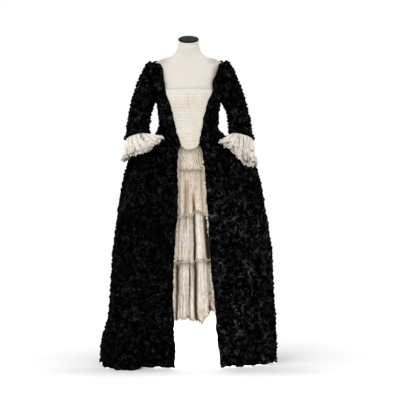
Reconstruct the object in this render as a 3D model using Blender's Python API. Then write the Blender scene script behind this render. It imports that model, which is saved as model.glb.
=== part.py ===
"""A robe a la francaise, open over a tiered petticoat and a stomacher, on a limbless dress form.

Metres, +Z up. The front faces -Y and +X is the wearer's left. The origin is on the floor, under
the stand's pole. Every layer of cloth is a wall that follows a stack of rounded sections, so each
layer lies clear of the next one. An angle goes round the standing axis in degrees: 0 is the front,
90 is the wearer's left side, -90 the right side and 180 the back.
"""

import bisect
import math
from collections import namedtuple

import bpy
from mathutils import Matrix, Vector

# Driving dimensions
SEAM = 0.0004
ROBE_CLOTH = 0.0026
PLAIN_CLOTH = 0.0016
RUFFLE_CLOTH = 0.0012
STOMACHER_CLOTH = 0.0022
STOMACHER_CLEARANCE = 0.0012
WAIST_SEAM_Z = 1.075
SHOULDER_NECK_Z = 1.4035
ARM_TOP_Z = 1.386
ARM_BOTTOM_Z = 1.214
ARM_FRONT_ANGLE = 28.0
ARM_BACK_ANGLE = 32.0
SIDE_SEAM_ANGLE = 38.0
SACK_LIFT = 0.0042
SACK_SEAM_ANGLE = 124.0
PETTICOAT_TOP_Z = 1.062
PETTICOAT_HEM_Z = 0.212
FORM_BOTTOM_Z = 0.845
NECK_TILT = 24.0
CAP_RADIUS = 0.0477
CAP_THICKNESS = 0.008
RING_THICKNESS = 0.004
CAP_CENTRE_Z = 1.4985
POLE_RADIUS = 0.014
BASE_RADIUS = 0.185
BASE_THICKNESS = 0.008
HUB_RADIUS = 0.030
HUB_HEIGHT = 0.030

# Degrees round each half of an armhole at which the bodice and the sleeve share a corner
ARM_TURNS = (0.0, 27.0, 44.0, 61.0, 79.0, 98.0, 117.0, 137.0, 157.0, 180.0)
# Shares of the way from the armhole's bottom to the waist
LOWER_SHARES = (0.3, 0.6, 0.84, 1.0)

# Half-widths to the wearer's right and left, and depths to the front and back, at each height
Section = namedtuple("Section", "z right left front back")
ROBE_SECTIONS = [
    Section(0.000, 0.398, 0.398, 0.290, 0.640),
    Section(0.014, 0.398, 0.398, 0.289, 0.590),
    Section(0.045, 0.397, 0.398, 0.287, 0.545),
    Section(0.100, 0.391, 0.397, 0.284, 0.508),
    Section(0.165, 0.374, 0.395, 0.279, 0.480),
    Section(0.221, 0.361, 0.393, 0.274, 0.462),
    Section(0.323, 0.353, 0.388, 0.264, 0.436),
    Section(0.519, 0.344, 0.381, 0.240, 0.392),
    Section(0.635, 0.332, 0.366, 0.224, 0.366),
    Section(0.774, 0.314, 0.343, 0.203, 0.334),
    Section(0.844, 0.301, 0.329, 0.190, 0.314),
    Section(0.914, 0.283, 0.309, 0.176, 0.286),
    Section(0.980, 0.246, 0.262, 0.157, 0.232),
    Section(1.030, 0.192, 0.202, 0.1385, 0.160),
    Section(1.056, 0.155, 0.160, 0.1275, 0.118),
    Section(1.075, 0.1405, 0.1420, 0.1215, 0.103),
    Section(1.095, 0.1355, 0.1355, 0.1190, 0.099),
    Section(1.125, 0.1370, 0.1370, 0.1200, 0.098),
    Section(1.160, 0.1405, 0.1405, 0.1245, 0.099),
    Section(1.216, 0.1490, 0.1500, 0.1365, 0.102),
    Section(1.254, 0.1550, 0.1550, 0.1405, 0.104),
    Section(1.300, 0.1610, 0.1610, 0.1250, 0.106),
    Section(1.350, 0.1700, 0.1700, 0.0900, 0.0970),
    Section(1.375, 0.1705, 0.1705, 0.0690, 0.0830),
    Section(1.3905, 0.1640, 0.1640, 0.0580, 0.0740),
    Section(1.3995, 0.1490, 0.1490, 0.0530, 0.0700),
    Section(1.4085, 0.1300, 0.1300, 0.0510, 0.0680),
    Section(1.4240, 0.0990, 0.0990, 0.0500, 0.0650),
]
# The back of the sack falls straight from the neck, clear of the fitted bodice
Fall = namedtuple("Fall", "z back")
SACK_FALL = [
    Fall(0.844, 0.314),
    Fall(0.914, 0.291),
    Fall(0.980, 0.268),
    Fall(1.030, 0.250),
    Fall(1.086, 0.229),
    Fall(1.160, 0.200),
    Fall(1.216, 0.178),
    Fall(1.300, 0.144),
    Fall(1.350, 0.121),
    Fall(1.375, 0.106),
    Fall(1.3905, 0.094),
    Fall(1.4085, 0.082),
]
PETTICOAT_SECTIONS = [
    Section(0.200, 0.330, 0.330, 0.246, 0.300),
    Section(0.300, 0.325, 0.325, 0.232, 0.290),
    Section(0.500, 0.310, 0.310, 0.206, 0.270),
    Section(0.700, 0.290, 0.290, 0.176, 0.240),
    Section(0.840, 0.262, 0.262, 0.152, 0.205),
    Section(0.900, 0.238, 0.238, 0.141, 0.182),
    Section(0.950, 0.205, 0.205, 0.131, 0.158),
    Section(1.000, 0.160, 0.160, 0.119, 0.128),
    Section(1.040, 0.1300, 0.1300, 0.1085, 0.0980),
    Section(1.075, 0.1233, 0.1233, 0.1032, 0.0910),
]
FORM_SECTIONS = [
    Section(0.845, 0.150, 0.150, 0.100, 0.120),
    Section(0.900, 0.164, 0.164, 0.104, 0.128),
    Section(0.950, 0.162, 0.162, 0.102, 0.122),
    Section(1.015, 0.133, 0.133, 0.101, 0.101),
    Section(1.040, 0.1265, 0.1265, 0.1010, 0.0945),
    Section(1.062, 0.1225, 0.1225, 0.1010, 0.0900),
    Section(1.086, 0.1215, 0.1215, 0.1030, 0.0880),
    Section(1.120, 0.1245, 0.1245, 0.1050, 0.0880),
    Section(1.160, 0.1290, 0.1290, 0.1115, 0.0895),
    Section(1.216, 0.1380, 0.1380, 0.1235, 0.0925),
    Section(1.254, 0.1440, 0.1440, 0.1275, 0.0945),
    Section(1.300, 0.1500, 0.1500, 0.1130, 0.0965),
    Section(1.350, 0.1610, 0.1610, 0.0795, 0.0885),
    Section(1.375, 0.1645, 0.1645, 0.0615, 0.0765),
    Section(1.386, 0.1597, 0.1597, 0.0535, 0.0690),
    Section(1.395, 0.1462, 0.1462, 0.0490, 0.0655),
    Section(1.404, 0.1275, 0.1275, 0.0470, 0.0630),
    Section(1.420, 0.0950, 0.0950, 0.0450, 0.0595),
    Section(1.439, 0.0600, 0.0600, 0.0460, 0.0550),
    Section(1.453, 0.0530, 0.0530, 0.0470, 0.0500),
]

# How far the robe's two front edges stand from the middle, at each height
Opening = namedtuple("Opening", "z right left")
ROBE_OPENING = [
    Opening(0.000, 0.063, 0.150),
    Opening(0.120, 0.064, 0.138),
    Opening(0.200, 0.064, 0.128),
    Opening(0.300, 0.065, 0.122),
    Opening(0.500, 0.063, 0.112),
    Opening(0.600, 0.060, 0.107),
    Opening(0.700, 0.057, 0.098),
    Opening(0.800, 0.056, 0.088),
    Opening(0.900, 0.057, 0.076),
    Opening(0.930, 0.055, 0.071),
    Opening(0.970, 0.049, 0.066),
    Opening(0.988, 0.043, 0.059),
    Opening(1.004, 0.038, 0.050),
    Opening(1.020, 0.041, 0.051),
    Opening(1.040, 0.048, 0.055),
    Opening(1.095, 0.062, 0.065),
    Opening(1.155, 0.075, 0.078),
    Opening(1.216, 0.094, 0.097),
    Opening(1.257, 0.108, 0.111),
    Opening(1.303, 0.113, 0.116),
    Opening(1.345, 0.118, 0.133),
    Opening(1.390, 0.132, 0.137),
]
Width = namedtuple("Width", "z right left")
STOMACHER_WIDTHS = [
    Width(0.981, 0.004, 0.015),
    Width(0.984, 0.014, 0.026),
    Width(0.990, 0.023, 0.036),
    Width(1.002, 0.034, 0.047),
    Width(1.016, 0.042, 0.053),
    Width(1.032, 0.049, 0.057),
    Width(1.048, 0.056, 0.061),
    Width(1.062, 0.061, 0.065),
    Width(1.078, 0.068, 0.071),
    Width(1.095, 0.074, 0.077),
    Width(1.120, 0.080, 0.083),
    Width(1.160, 0.089, 0.092),
    Width(1.216, 0.106, 0.109),
    Width(1.257, 0.119, 0.122),
]

# A fold stands out at one angle, and a negative height is a trough
Fold = namedtuple("Fold", "angle width height top_z")
ROBE_FOLDS = [
    Fold(-112, 6.0, 0.014, 1.00),
    Fold(-101, 4.5, -0.012, 0.98),
    Fold(-92, 5.0, 0.012, 0.96),
    Fold(-82, 4.0, -0.013, 0.94),
    Fold(-72, 5.0, 0.013, 0.96),
    Fold(-62, 4.0, -0.014, 0.80),
    Fold(-52, 5.0, 0.010, 0.94),
    Fold(-41, 4.0, 0.018, 0.62),
    Fold(-34, 3.5, -0.010, 0.70),
    Fold(-25, 5.0, 0.008, 0.90),
    Fold(-15, 3.0, -0.006, 0.92),
    Fold(29, 4.0, -0.008, 0.92),
    Fold(36, 4.0, 0.009, 0.94),
    Fold(44, 4.0, 0.012, 0.86),
    Fold(52, 4.0, -0.012, 0.80),
    Fold(61, 5.0, 0.010, 0.94),
    Fold(71, 4.5, -0.013, 0.90),
    Fold(82, 5.0, 0.013, 0.96),
    Fold(92, 4.0, -0.012, 0.92),
    Fold(101, 5.0, 0.013, 0.98),
    Fold(112, 5.0, -0.010, 0.96),
]
# Box pleats stitched down at the back of the neck, flat on top, that open downwards
Pleat = namedtuple("Pleat", "angle half_width_top half_width_hem height_top height_hem")
SACK_PLEATS = [
    Pleat(156.0, 6.5, 6.0, 0.004, 0.020),
    Pleat(170.0, 5.5, 5.5, 0.009, 0.026),
    Pleat(190.0, 5.5, 5.5, 0.009, 0.026),
    Pleat(204.0, 6.5, 6.0, 0.004, 0.020),
]
SACK_FOLDS = [
    Fold(131, 3.5, -0.010, 0.90),
    Fold(139, 4.0, 0.014, 0.94),
    Fold(148, 3.0, -0.010, 0.90),
    Fold(180, 4.5, -0.010, 1.20),
    Fold(212, 3.0, -0.010, 0.90),
    Fold(221, 4.0, 0.014, 0.94),
    Fold(229, 3.5, -0.010, 0.90),
]
PETTICOAT_FOLDS = [
    Fold(-27, 3.0, 0.008, 0.80),
    Fold(-20, 2.5, -0.008, 0.80),
    Fold(-13, 2.5, 0.007, 0.86),
    Fold(-8.5, 1.9, -0.011, 0.86),
    Fold(-4.0, 2.4, 0.006, 0.90),
    Fold(0.5, 1.7, -0.008, 0.70),
    Fold(5.8, 1.7, -0.014, 0.90),
    Fold(11.5, 3.6, 0.008, 0.90),
    Fold(18.2, 2.0, -0.012, 0.90),
    Fold(23.0, 2.4, 0.008, 0.86),
    Fold(29, 2.5, -0.009, 0.80),
    Fold(36, 3.5, 0.009, 0.80),
    Fold(46, 5.0, -0.009, 0.80),
    Fold(-36, 5.0, -0.009, 0.80),
]
SKIRT_ROWS = 11
SACK_UPPER_ROWS = [1.4015, 1.380, 1.345, 1.270, 1.170]
FAR_FOLD_SPACING = 28.8
FAR_FOLD_HEIGHT = 0.007

# Each flounce hangs from its top height to its hem, and stands further out at the hem
Flounce = namedtuple("Flounce", "name top_z hem_z lift_top lift_hem waves wave_height")
FLOUNCES = [
    Flounce("petticoat_flounce_1", 1.014, 0.884, 0.0026, 0.0070, 12, 0.0016),
    Flounce("petticoat_flounce_2", 0.900, 0.679, 0.0020, 0.0100, 12, 0.0026),
    Flounce("petticoat_flounce_3", 0.696, 0.468, 0.0019, 0.0100, 12, 0.0028),
]
PETTICOAT_ROWS = [PETTICOAT_TOP_Z, 1.035, 1.005, 0.960, 0.900, 0.800, 0.660, 0.440, PETTICOAT_HEM_Z]
FLOUNCE_FIRST_ANGLE = -31.0
FLOUNCE_LAST_ANGLE = 41.0
FLOUNCE_COLUMNS = 44
HEM_SWAY = 0.006
# The wearer's right side of the robe spreads forwards on the floor
SPREAD_REACH = 0.125
SPREAD_TOP_Z = 0.190

# Sections across the sleeve: its outer and inner ends, its middle in depth and its half-depth
Sleeve = namedtuple("Sleeve", "outer_x outer_z inner_x inner_z mid_y half_depth front_rise")
SLEEVE_SECTIONS = [
    Sleeve(0.181, 1.3925, 0.1545, 1.2115, 0.000, 0.062, 0.000),
    Sleeve(0.203, 1.3640, 0.1590, 1.2030, -0.002, 0.064, 0.000),
    Sleeve(0.226, 1.3130, 0.1650, 1.1890, -0.007, 0.064, 0.000),
    Sleeve(0.246, 1.2580, 0.1715, 1.1710, -0.017, 0.061, 0.000),
    Sleeve(0.263, 1.2000, 0.1775, 1.1490, -0.034, 0.058, 0.002),
    Sleeve(0.272, 1.1450, 0.1800, 1.1180, -0.057, 0.056, 0.004),
    Sleeve(0.277, 1.1000, 0.1815, 1.0880, -0.080, 0.054, 0.007),
    Sleeve(0.279, 1.0640, 0.1825, 1.0700, -0.096, 0.052, 0.010),
    Sleeve(0.289, 1.0270, 0.1805, 1.0540, -0.112, 0.056, 0.011),
]
SLEEVE_SWING = {-1: 0.000, 1: 0.010}

# Round the cuff from the outer side, through the front, the inner side and the back
RuffleRow = namedtuple("RuffleRow", "turn length flare wave")
RUFFLES = {
    -1: [
        RuffleRow(0, 0.078, 0.056, 0.0075),
        RuffleRow(45, 0.084, 0.044, 0.0080),
        RuffleRow(90, 0.094, 0.036, 0.0080),
        RuffleRow(120, 0.078, 0.050, 0.0080),
        RuffleRow(147, 0.058, 0.066, 0.0075),
        RuffleRow(180, 0.050, 0.034, 0.0050),
        RuffleRow(225, 0.050, 0.018, 0.0020),
        RuffleRow(280, 0.066, 0.026, 0.0016),
        RuffleRow(320, 0.078, 0.046, 0.0016),
        RuffleRow(360, 0.078, 0.056, 0.0075),
    ],
    1: [
        RuffleRow(0, 0.092, 0.070, 0.0075),
        RuffleRow(40, 0.126, 0.044, 0.0080),
        RuffleRow(65, 0.112, 0.036, 0.0080),
        RuffleRow(100, 0.088, 0.034, 0.0080),
        RuffleRow(147, 0.060, 0.044, 0.0070),
        RuffleRow(180, 0.050, 0.026, 0.0050),
        RuffleRow(225, 0.050, 0.018, 0.0020),
        RuffleRow(280, 0.066, 0.028, 0.0016),
        RuffleRow(320, 0.080, 0.052, 0.0018),
        RuffleRow(360, 0.092, 0.070, 0.0075),
    ],
}
RUFFLE_WAVES = 15
RUFFLE_COLUMNS = 60
RUFFLE_LEAN = 25.0
RUFFLE_TUCK = 0.0051
RUFFLE_CLEARANCE = 0.0105
RUFFLE_STEPS = (0.03, 0.45, 1.0)


def clear_scene():
    """Removes every object, so that the file starts empty."""
    for item in list(bpy.data.objects):
        bpy.data.objects.remove(item)


def make_material(name, colour, roughness, metallic=0.0):
    """A Principled material of one colour."""
    material = bpy.data.materials.new(name)
    material.use_nodes = True
    shader = material.node_tree.nodes["Principled BSDF"]
    shader.inputs["Base Color"].default_value = (*colour, 1.0)
    shader.inputs["Roughness"].default_value = roughness
    shader.inputs["Metallic"].default_value = metallic
    material.diffuse_color = (*colour, 1.0)
    return material


def smooth_curve(places, values):
    """A function through the points that never overshoots them, straight beyond its two ends."""
    steps = [b - a for a, b in zip(places, places[1:])]
    slopes = [(b - a) / step for a, b, step in zip(values, values[1:], steps)]
    tangents = [slopes[0]]
    for before, after in zip(slopes, slopes[1:]):
        level = before * after <= 0
        tangents.append(0.0 if level else 2 * before * after / (before + after))
    tangents.append(slopes[-1])

    def at(place):
        if place <= places[0]:
            return values[0] + (place - places[0]) * tangents[0]
        if place >= places[-1]:
            return values[-1] + (place - places[-1]) * tangents[-1]
        i = bisect.bisect_right(places, place) - 1
        t = (place - places[i]) / steps[i]
        keep = (1 + 2 * t) * (1 - t) ** 2
        lead = t * (1 - t) ** 2 * steps[i]
        trail = t * t * (t - 1) * steps[i]
        return (
            values[i] * keep
            + values[i + 1] * (1 - keep)
            + tangents[i] * lead
            + tangents[i + 1] * trail
        )

    return at


def curves_of(rows):
    """One smooth curve over the first column for each of the other columns of a table."""
    places = [row[0] for row in rows]
    return {name: smooth_curve(places, [getattr(row, name) for row in rows]) for name in rows[0]._fields[1:]}


def ease(value):
    """Rises smoothly from 0 to 1 as value does."""
    t = min(max(value, 0.0), 1.0)
    return t * t * (3 - 2 * t)


class Hull:
    """Rounded sections round the standing axis, which a layer of cloth follows."""

    def __init__(self, rows):
        self.curves = curves_of(rows)

    def half_width(self, side, z):
        """The half-width to the wearer's left for a positive side, or to the right."""
        return self.curves["left" if side > 0 else "right"](z)

    def axes(self, angle, z):
        """The half-width and the depth of the quarter section that an angle lies in."""
        turn = math.radians(angle)
        width = self.half_width(math.sin(turn), z)
        depth = self.curves["front" if math.cos(turn) > 0 else "back"](z)
        return width, depth

    def point(self, angle, z, out=0.0):
        """The point at an angle and a height, moved out from the section by a distance."""
        turn = math.radians(angle)
        width, depth = self.axes(angle, z)
        place = Vector((width * math.sin(turn), -depth * math.cos(turn), z))
        away = Vector((math.sin(turn) / width, -math.cos(turn) / depth, 0.0)).normalized()
        return place + away * out

    def angle_at(self, x, z):
        """The angle on the front half where the section reaches x."""
        width = self.half_width(x, z)
        return math.degrees(math.asin(max(-1.0, min(1.0, x / width))))


ROBE = Hull(ROBE_SECTIONS)
PETTICOAT = Hull(PETTICOAT_SECTIONS)
FORM = Hull(FORM_SECTIONS)
OPENING = curves_of(ROBE_OPENING)
SACK_BACK = curves_of(SACK_FALL)["back"]


def fold_height(folds, angle, z, hem_z=0.0):
    """The sum of the soft folds at an angle, each growing from its top height to the hem."""
    total = 0.0
    for fold in folds:
        apart = (angle - fold.angle) / fold.width
        grown = ease((fold.top_z - z) / (fold.top_z - hem_z))
        total += fold.height * grown * math.exp(-apart * apart)
    return total


def pleat_height(angle, z):
    """The flat-topped box pleats of the sack, with soft edges."""
    fallen = ease((SHOULDER_NECK_Z - z) / SHOULDER_NECK_Z)
    total = 0.0
    for pleat in SACK_PLEATS:
        half = pleat.half_width_top + (pleat.half_width_hem - pleat.half_width_top) * fallen
        height = pleat.height_top + (pleat.height_hem - pleat.height_top) * fallen
        apart = abs(angle - pleat.angle) / half
        total += height * (1 - ease((apart - 0.62) / 0.76))
    return total


def robe_spread(angle, z):
    """How far the robe's right side spreads forwards near the floor."""
    dropped = ease((SPREAD_TOP_Z - z) / SPREAD_TOP_Z) ** 1.5
    return SPREAD_REACH * dropped * ease((-angle - 28) / 13) * (1 - ease((-angle - 48) / 56))


def robe_surface(angle, z):
    """The outer face of the robe's bodice and skirt."""
    out = fold_height(ROBE_FOLDS, angle, z) if z < WAIST_SEAM_Z else 0.0
    place = ROBE.point(angle, z, out)
    spread = robe_spread(angle, z) if -104 < angle < 0 else 0.0
    return place - Vector((0.0, spread, 0.0))


def sack_surface(angle, z):
    """The outer face of the pleated back, which joins the side panels below the waist.

    Above them it stands clear of the fitted bodice, and further out towards the middle.
    """
    away = abs(angle - 180.0)
    seam = 180.0 - SACK_SEAM_ANGLE
    fallen = max(0.0, SACK_BACK(z) - ROBE.curves["back"](z)) if z > SACK_FALL[0].z else 0.0
    out = fallen * (1 - ease((away - 20.0) / (sack_half_angle(z) - 18.0)))
    out += SACK_LIFT * ease((z - 1.0) / 0.07)
    out += pleat_height(angle, z)
    out += fold_height(SACK_FOLDS, angle, z) * ease((seam - away) / 6.0)
    out += fold_height(ROBE_FOLDS, angle if angle < 180 else angle - 360, z) if z < WAIST_SEAM_Z else 0.0
    return ROBE.point(angle, z, out)


def petticoat_surface(angle, z):
    """The outer face of the petticoat: uneven folds in front, even ones where the robe hides it."""
    out = fold_height(PETTICOAT_FOLDS, angle, z, PETTICOAT_HEM_Z)
    away = ease((abs(angle) - 55.0) / 20.0)
    grown = ease((0.95 - z) / (0.95 - PETTICOAT_HEM_Z))
    out += FAR_FOLD_HEIGHT * away * grown * math.cos(math.radians(360.0 / FAR_FOLD_SPACING * angle))
    return PETTICOAT.point(angle, z, out)


def flounce_surface(flounce):
    """The outer face of one flounce, which rides on the petticoat's folds with waves of its own."""

    def surface(angle, z):
        fallen = (flounce.top_z - z) / (flounce.top_z - flounce.hem_z)
        span = FLOUNCE_LAST_ANGLE - FLOUNCE_FIRST_ANGLE
        wave = math.cos(math.tau * flounce.waves * (angle - FLOUNCE_FIRST_ANGLE) / span)
        lift = flounce.lift_top + (flounce.lift_hem - flounce.lift_top) * fallen
        lift += flounce.wave_height * (wave + 1) * ease(fallen)
        out = fold_height(PETTICOAT_FOLDS, angle, z, PETTICOAT_HEM_Z)
        return PETTICOAT.point(angle, z, out + lift)

    return surface


def stomacher_surface(angle, z):
    """The outer face of the stomacher, just under the robe's front edges."""
    return ROBE.point(angle, z, -ROBE_CLOTH - STOMACHER_CLEARANCE)


def form_surface(angle, z):
    """The dress form's smooth skin."""
    return FORM.point(angle, z)


def face_direction(surface, angle, z):
    """The direction in which a surface faces outwards at a point."""
    turn_step = 0.4
    rise_step = 0.0008
    across = surface(angle + turn_step, z) - surface(angle - turn_step, z)
    up = surface(angle, z + rise_step) - surface(angle, z - rise_step)
    return across.cross(up).normalized()


def grid_directions(grid, closed):
    """The outward directions at the points of a grid, worked out from their neighbours."""
    last_row = len(grid) - 1
    columns = len(grid[0])
    directions = []
    for i, row in enumerate(grid):
        line = []
        for j in range(columns):
            ahead = row[(j + 1) % columns] if closed else row[min(j + 1, columns - 1)]
            behind = row[j - 1] if closed else row[max(j - 1, 0)]
            up = grid[max(i - 1, 0)][j] - grid[min(i + 1, last_row)][j]
            line.append((ahead - behind).cross(up).normalized())
        directions.append(line)
    return directions


def add_mesh(name, vertices, faces, material, smooth_angle=50.0):
    """Adds one named object, its faces pointing out and its round parts shaded smooth."""
    mesh = bpy.data.meshes.new(name)
    mesh.from_pydata([tuple(v) for v in vertices], [], faces)
    mesh.materials.append(material)
    mesh.validate()
    mesh.shade_smooth()
    mesh.set_sharp_from_angle(angle=math.radians(smooth_angle))
    item = bpy.data.objects.new(name, mesh)
    bpy.context.scene.collection.objects.link(item)
    return item


def wall_faces(rows, columns, closed):
    """The faces of a wall: its outer grid, its inner grid and the strips round its edges."""
    offset = rows * columns
    spans = columns if closed else columns - 1

    def at(i, j, inner=0):
        return inner * offset + i * columns + j % columns

    faces = []
    for i in range(rows - 1):
        for j in range(spans):
            faces.append((at(i, j), at(i + 1, j), at(i + 1, j + 1), at(i, j + 1)))
            faces.append((at(i, j, 1), at(i, j + 1, 1), at(i + 1, j + 1, 1), at(i + 1, j, 1)))
    for j in range(spans):
        last = rows - 1
        faces.append((at(0, j), at(0, j + 1), at(0, j + 1, 1), at(0, j, 1)))
        faces.append((at(last, j), at(last, j, 1), at(last, j + 1, 1), at(last, j + 1)))
    if not closed:
        for i in range(rows - 1):
            last = columns - 1
            faces.append((at(i, 0), at(i, 0, 1), at(i + 1, 0, 1), at(i + 1, 0)))
            faces.append((at(i, last), at(i + 1, last), at(i + 1, last, 1), at(i, last, 1)))
    return faces


def cloth_wall(name, grid, directions, thickness, material, closed=False):
    """A wall of cloth: the outer points, the same points moved in, and its edges.

    The rows go down and the columns go towards the wearer's left across the front.
    """
    outer = [point for row in grid for point in row]
    inner = [
        point - direction * thickness
        for row, line in zip(grid, directions)
        for point, direction in zip(row, line)
    ]
    faces = wall_faces(len(grid), len(grid[0]), closed)
    return add_mesh(name, outer + inner, faces, material)


def surface_wall(name, surface, places, thickness, material, closed=False):
    """A wall on a surface, through rows of (angle, height) places."""
    grid = [[surface(angle, z) for angle, z in row] for row in places]
    directions = [[face_direction(surface, angle, z) for angle, z in row] for row in places]
    return cloth_wall(name, grid, directions, thickness, material, closed)


def steps_between(first, last, count):
    """Evenly spaced values from first to last."""
    return [first + (last - first) * i / (count - 1) for i in range(count)]


def angle_for(surface, angle, z, distance):
    """How many degrees a distance along a surface takes at a place."""
    reach = (surface(angle + 0.5, z) - surface(angle - 0.5, z)).length
    return distance / reach


def seam_angle(surface, angle, z, towards):
    """An angle moved off a seam by half of its gap."""
    return angle + towards * angle_for(surface, angle, z, SEAM / 2)


def arm_height(turn):
    """The height of a point round the armhole, from its top at 0 degrees to its bottom at 180."""
    middle = (ARM_TOP_Z + ARM_BOTTOM_Z) / 2
    return middle + (ARM_TOP_Z - ARM_BOTTOM_Z) / 2 * math.cos(math.radians(turn))


def bodice_rows():
    """Each row's height at the arm, its share of the way down, and how wide the armhole is there."""
    rows = [(arm_height(turn), math.sin(math.radians(turn))) for turn in ARM_TURNS]
    for share in LOWER_SHARES:
        rows.append((ARM_BOTTOM_Z + (WAIST_SEAM_Z - ARM_BOTTOM_Z) * share, 0.0))
    return [(z, (ARM_TOP_Z - z) / (ARM_TOP_Z - WAIST_SEAM_Z), width) for z, width in rows]


def opening_angle(side, z):
    """How far round from the front the robe's edge stands on one side."""
    column = "left" if side > 0 else "right"
    return side * ROBE.angle_at(side * OPENING[column](z), z)


def bodice_front_places(side, columns=8):
    """Down one front, from the shoulder seam to the waist, out from the front edge to the side."""
    places = []
    for outer_z, share, width in bodice_rows():
        inner_z = SHOULDER_NECK_Z + (WAIST_SEAM_Z - SHOULDER_NECK_Z) * share
        shoulder = ease(1 - share / 0.07)
        edge = opening_angle(side, min(inner_z, ROBE_OPENING[-1].z))
        edge += (90 - edge) * shoulder
        outer = 90 - max(ARM_FRONT_ANGLE * width, angle_for(robe_surface, 90, outer_z, SEAM / 2))
        row = []
        for u in steps_between(0, 1, columns):
            z = inner_z + (outer_z - inner_z) * u
            row.append((side * min(outer, edge + (outer - edge) * u), z))
        places.append(row if side > 0 else row[::-1])
    return places


def bodice_back_places(columns=15):
    """Down the fitted back between the side seams, with a strap up to each shoulder seam."""
    straps = 2
    places = []
    for arm_z, share, width in bodice_rows():
        neck_z = SHOULDER_NECK_Z + (WAIST_SEAM_Z - SHOULDER_NECK_Z) * share
        arm = max(ARM_BACK_ANGLE * width, angle_for(robe_surface, 90, arm_z, SEAM / 2))
        neck = arm + (90.0 - arm) * 2 * straps / (columns - 1) * ease(share / 0.35)
        row = []
        for j in range(columns):
            k = min(j, columns - 1 - j)
            if k <= straps:
                away = arm + (neck - arm) * k / straps
                z = arm_z + (neck_z - arm_z) * k / straps
            else:
                away = neck + (90 - neck) * (k - straps) / (columns // 2 - straps)
                z = neck_z
            row.append((90 + away if j <= columns // 2 else 270 - away, z))
        places.append(row)
    return places


def skirt_heights(count, top_z):
    """Heights from the waist to the hem, closer together over the hips and at the floor."""
    floor_z = 0.0042
    heights = []
    for i in range(count):
        t = i / (count - 1)
        fall = 0.42 * t + 0.58 * (t * t * (3 - 2 * t)) - 0.06 * math.sin(math.pi * t) * (1 - t)
        heights.append(top_z + (floor_z - top_z) * fall)
    return heights


def skirt_places(side, first, last, heights, columns):
    """One skirt panel between two angles, each a function of the height."""
    places = []
    for z in heights:
        row = [(side * angle, z) for angle in steps_between(first(z), last(z), columns)]
        places.append(row if side > 0 else row[::-1])
    return places


def sack_half_angle(z):
    """Half of the sack's width round the back: narrow at the neck, full at the hips."""
    opened = ease((SHOULDER_NECK_Z - z) / (SHOULDER_NECK_Z - WAIST_SEAM_Z))
    return 40.0 + (180.0 - SACK_SEAM_ANGLE - 40.0) * opened


def sack_places(columns=32):
    """Down the pleated back, from the neck to the train's hem."""
    places = []
    for z in SACK_UPPER_ROWS + skirt_heights(SKIRT_ROWS, WAIST_SEAM_Z - SEAM):
        half = sack_half_angle(z) - angle_for(robe_surface, SACK_SEAM_ANGLE, z, SEAM / 2)
        places.append([(angle, z) for angle in steps_between(180 - half, 180 + half, columns)])
    return places


def sleeve_point(side, section, turn):
    """A point round one section of a sleeve. The turn goes from outside, through the front."""
    outer = Vector((section.outer_x, 0.0, section.outer_z))
    inner = Vector((section.inner_x, 0.0, section.inner_z))
    place = (outer + inner) / 2 + (outer - inner) / 2 * math.cos(turn)
    place.y = section.mid_y - section.half_depth * math.sin(turn)
    place.z += section.front_rise * math.sin(turn)
    fallen = ease((1.20 - place.z) / 0.15)
    return Vector((side * (place.x + SLEEVE_SWING[side] * fallen), place.y, place.z))


def armhole_point(side, turn):
    """A point of the sleeve's seam, just inside the edge that the bodice leaves."""
    middle = (ARM_TOP_Z + ARM_BOTTOM_Z) / 2
    z = middle + ((ARM_TOP_Z - ARM_BOTTOM_Z) / 2 - SEAM) * math.cos(turn)
    reach = ARM_FRONT_ANGLE if math.sin(turn) > 0 else ARM_BACK_ANGLE
    away = (reach - angle_for(robe_surface, 90, z, SEAM)) * math.sin(turn)
    return robe_surface(side * (90 - away), z)


def sleeve_grid(side):
    """Rings down a sleeve, from the armhole to the flared cuff."""
    turns = [math.radians(turn) for turn in ARM_TURNS]
    turns += [math.tau - turn for turn in turns[-2:0:-1]]
    grid = [[armhole_point(side, turn) for turn in turns]]
    for section in SLEEVE_SECTIONS:
        grid.append([sleeve_point(side, section, turn) for turn in turns])
    return facing_out(grid, side)


def facing_out(grid, side):
    """Rings in the order that faces outwards, which is the other way round on the left side."""
    return grid if side < 0 else [[row[0]] + row[:0:-1] for row in grid]


def skirt_clear(place, clearance):
    """A place moved out sideways until it is clear of the robe's skirt."""
    angle = math.degrees(math.atan2(place.x, -place.y))
    width, depth = ROBE.axes(angle, place.z)
    share = math.hypot(place.x / (width + clearance), place.y / (depth + clearance))
    softened = (share + 1 + math.sqrt((share - 1) ** 2 + 0.004)) / 2
    return Vector((place.x * softened / share, place.y * softened / share, place.z))


def softened_ring(ring, times):
    """A closed ring with its sharp bends eased out."""
    for _ in range(times):
        ring = [(ring[j - 1] + ring[j] * 2 + ring[(j + 1) % len(ring)]) / 4 for j in range(len(ring))]
    return ring


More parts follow.
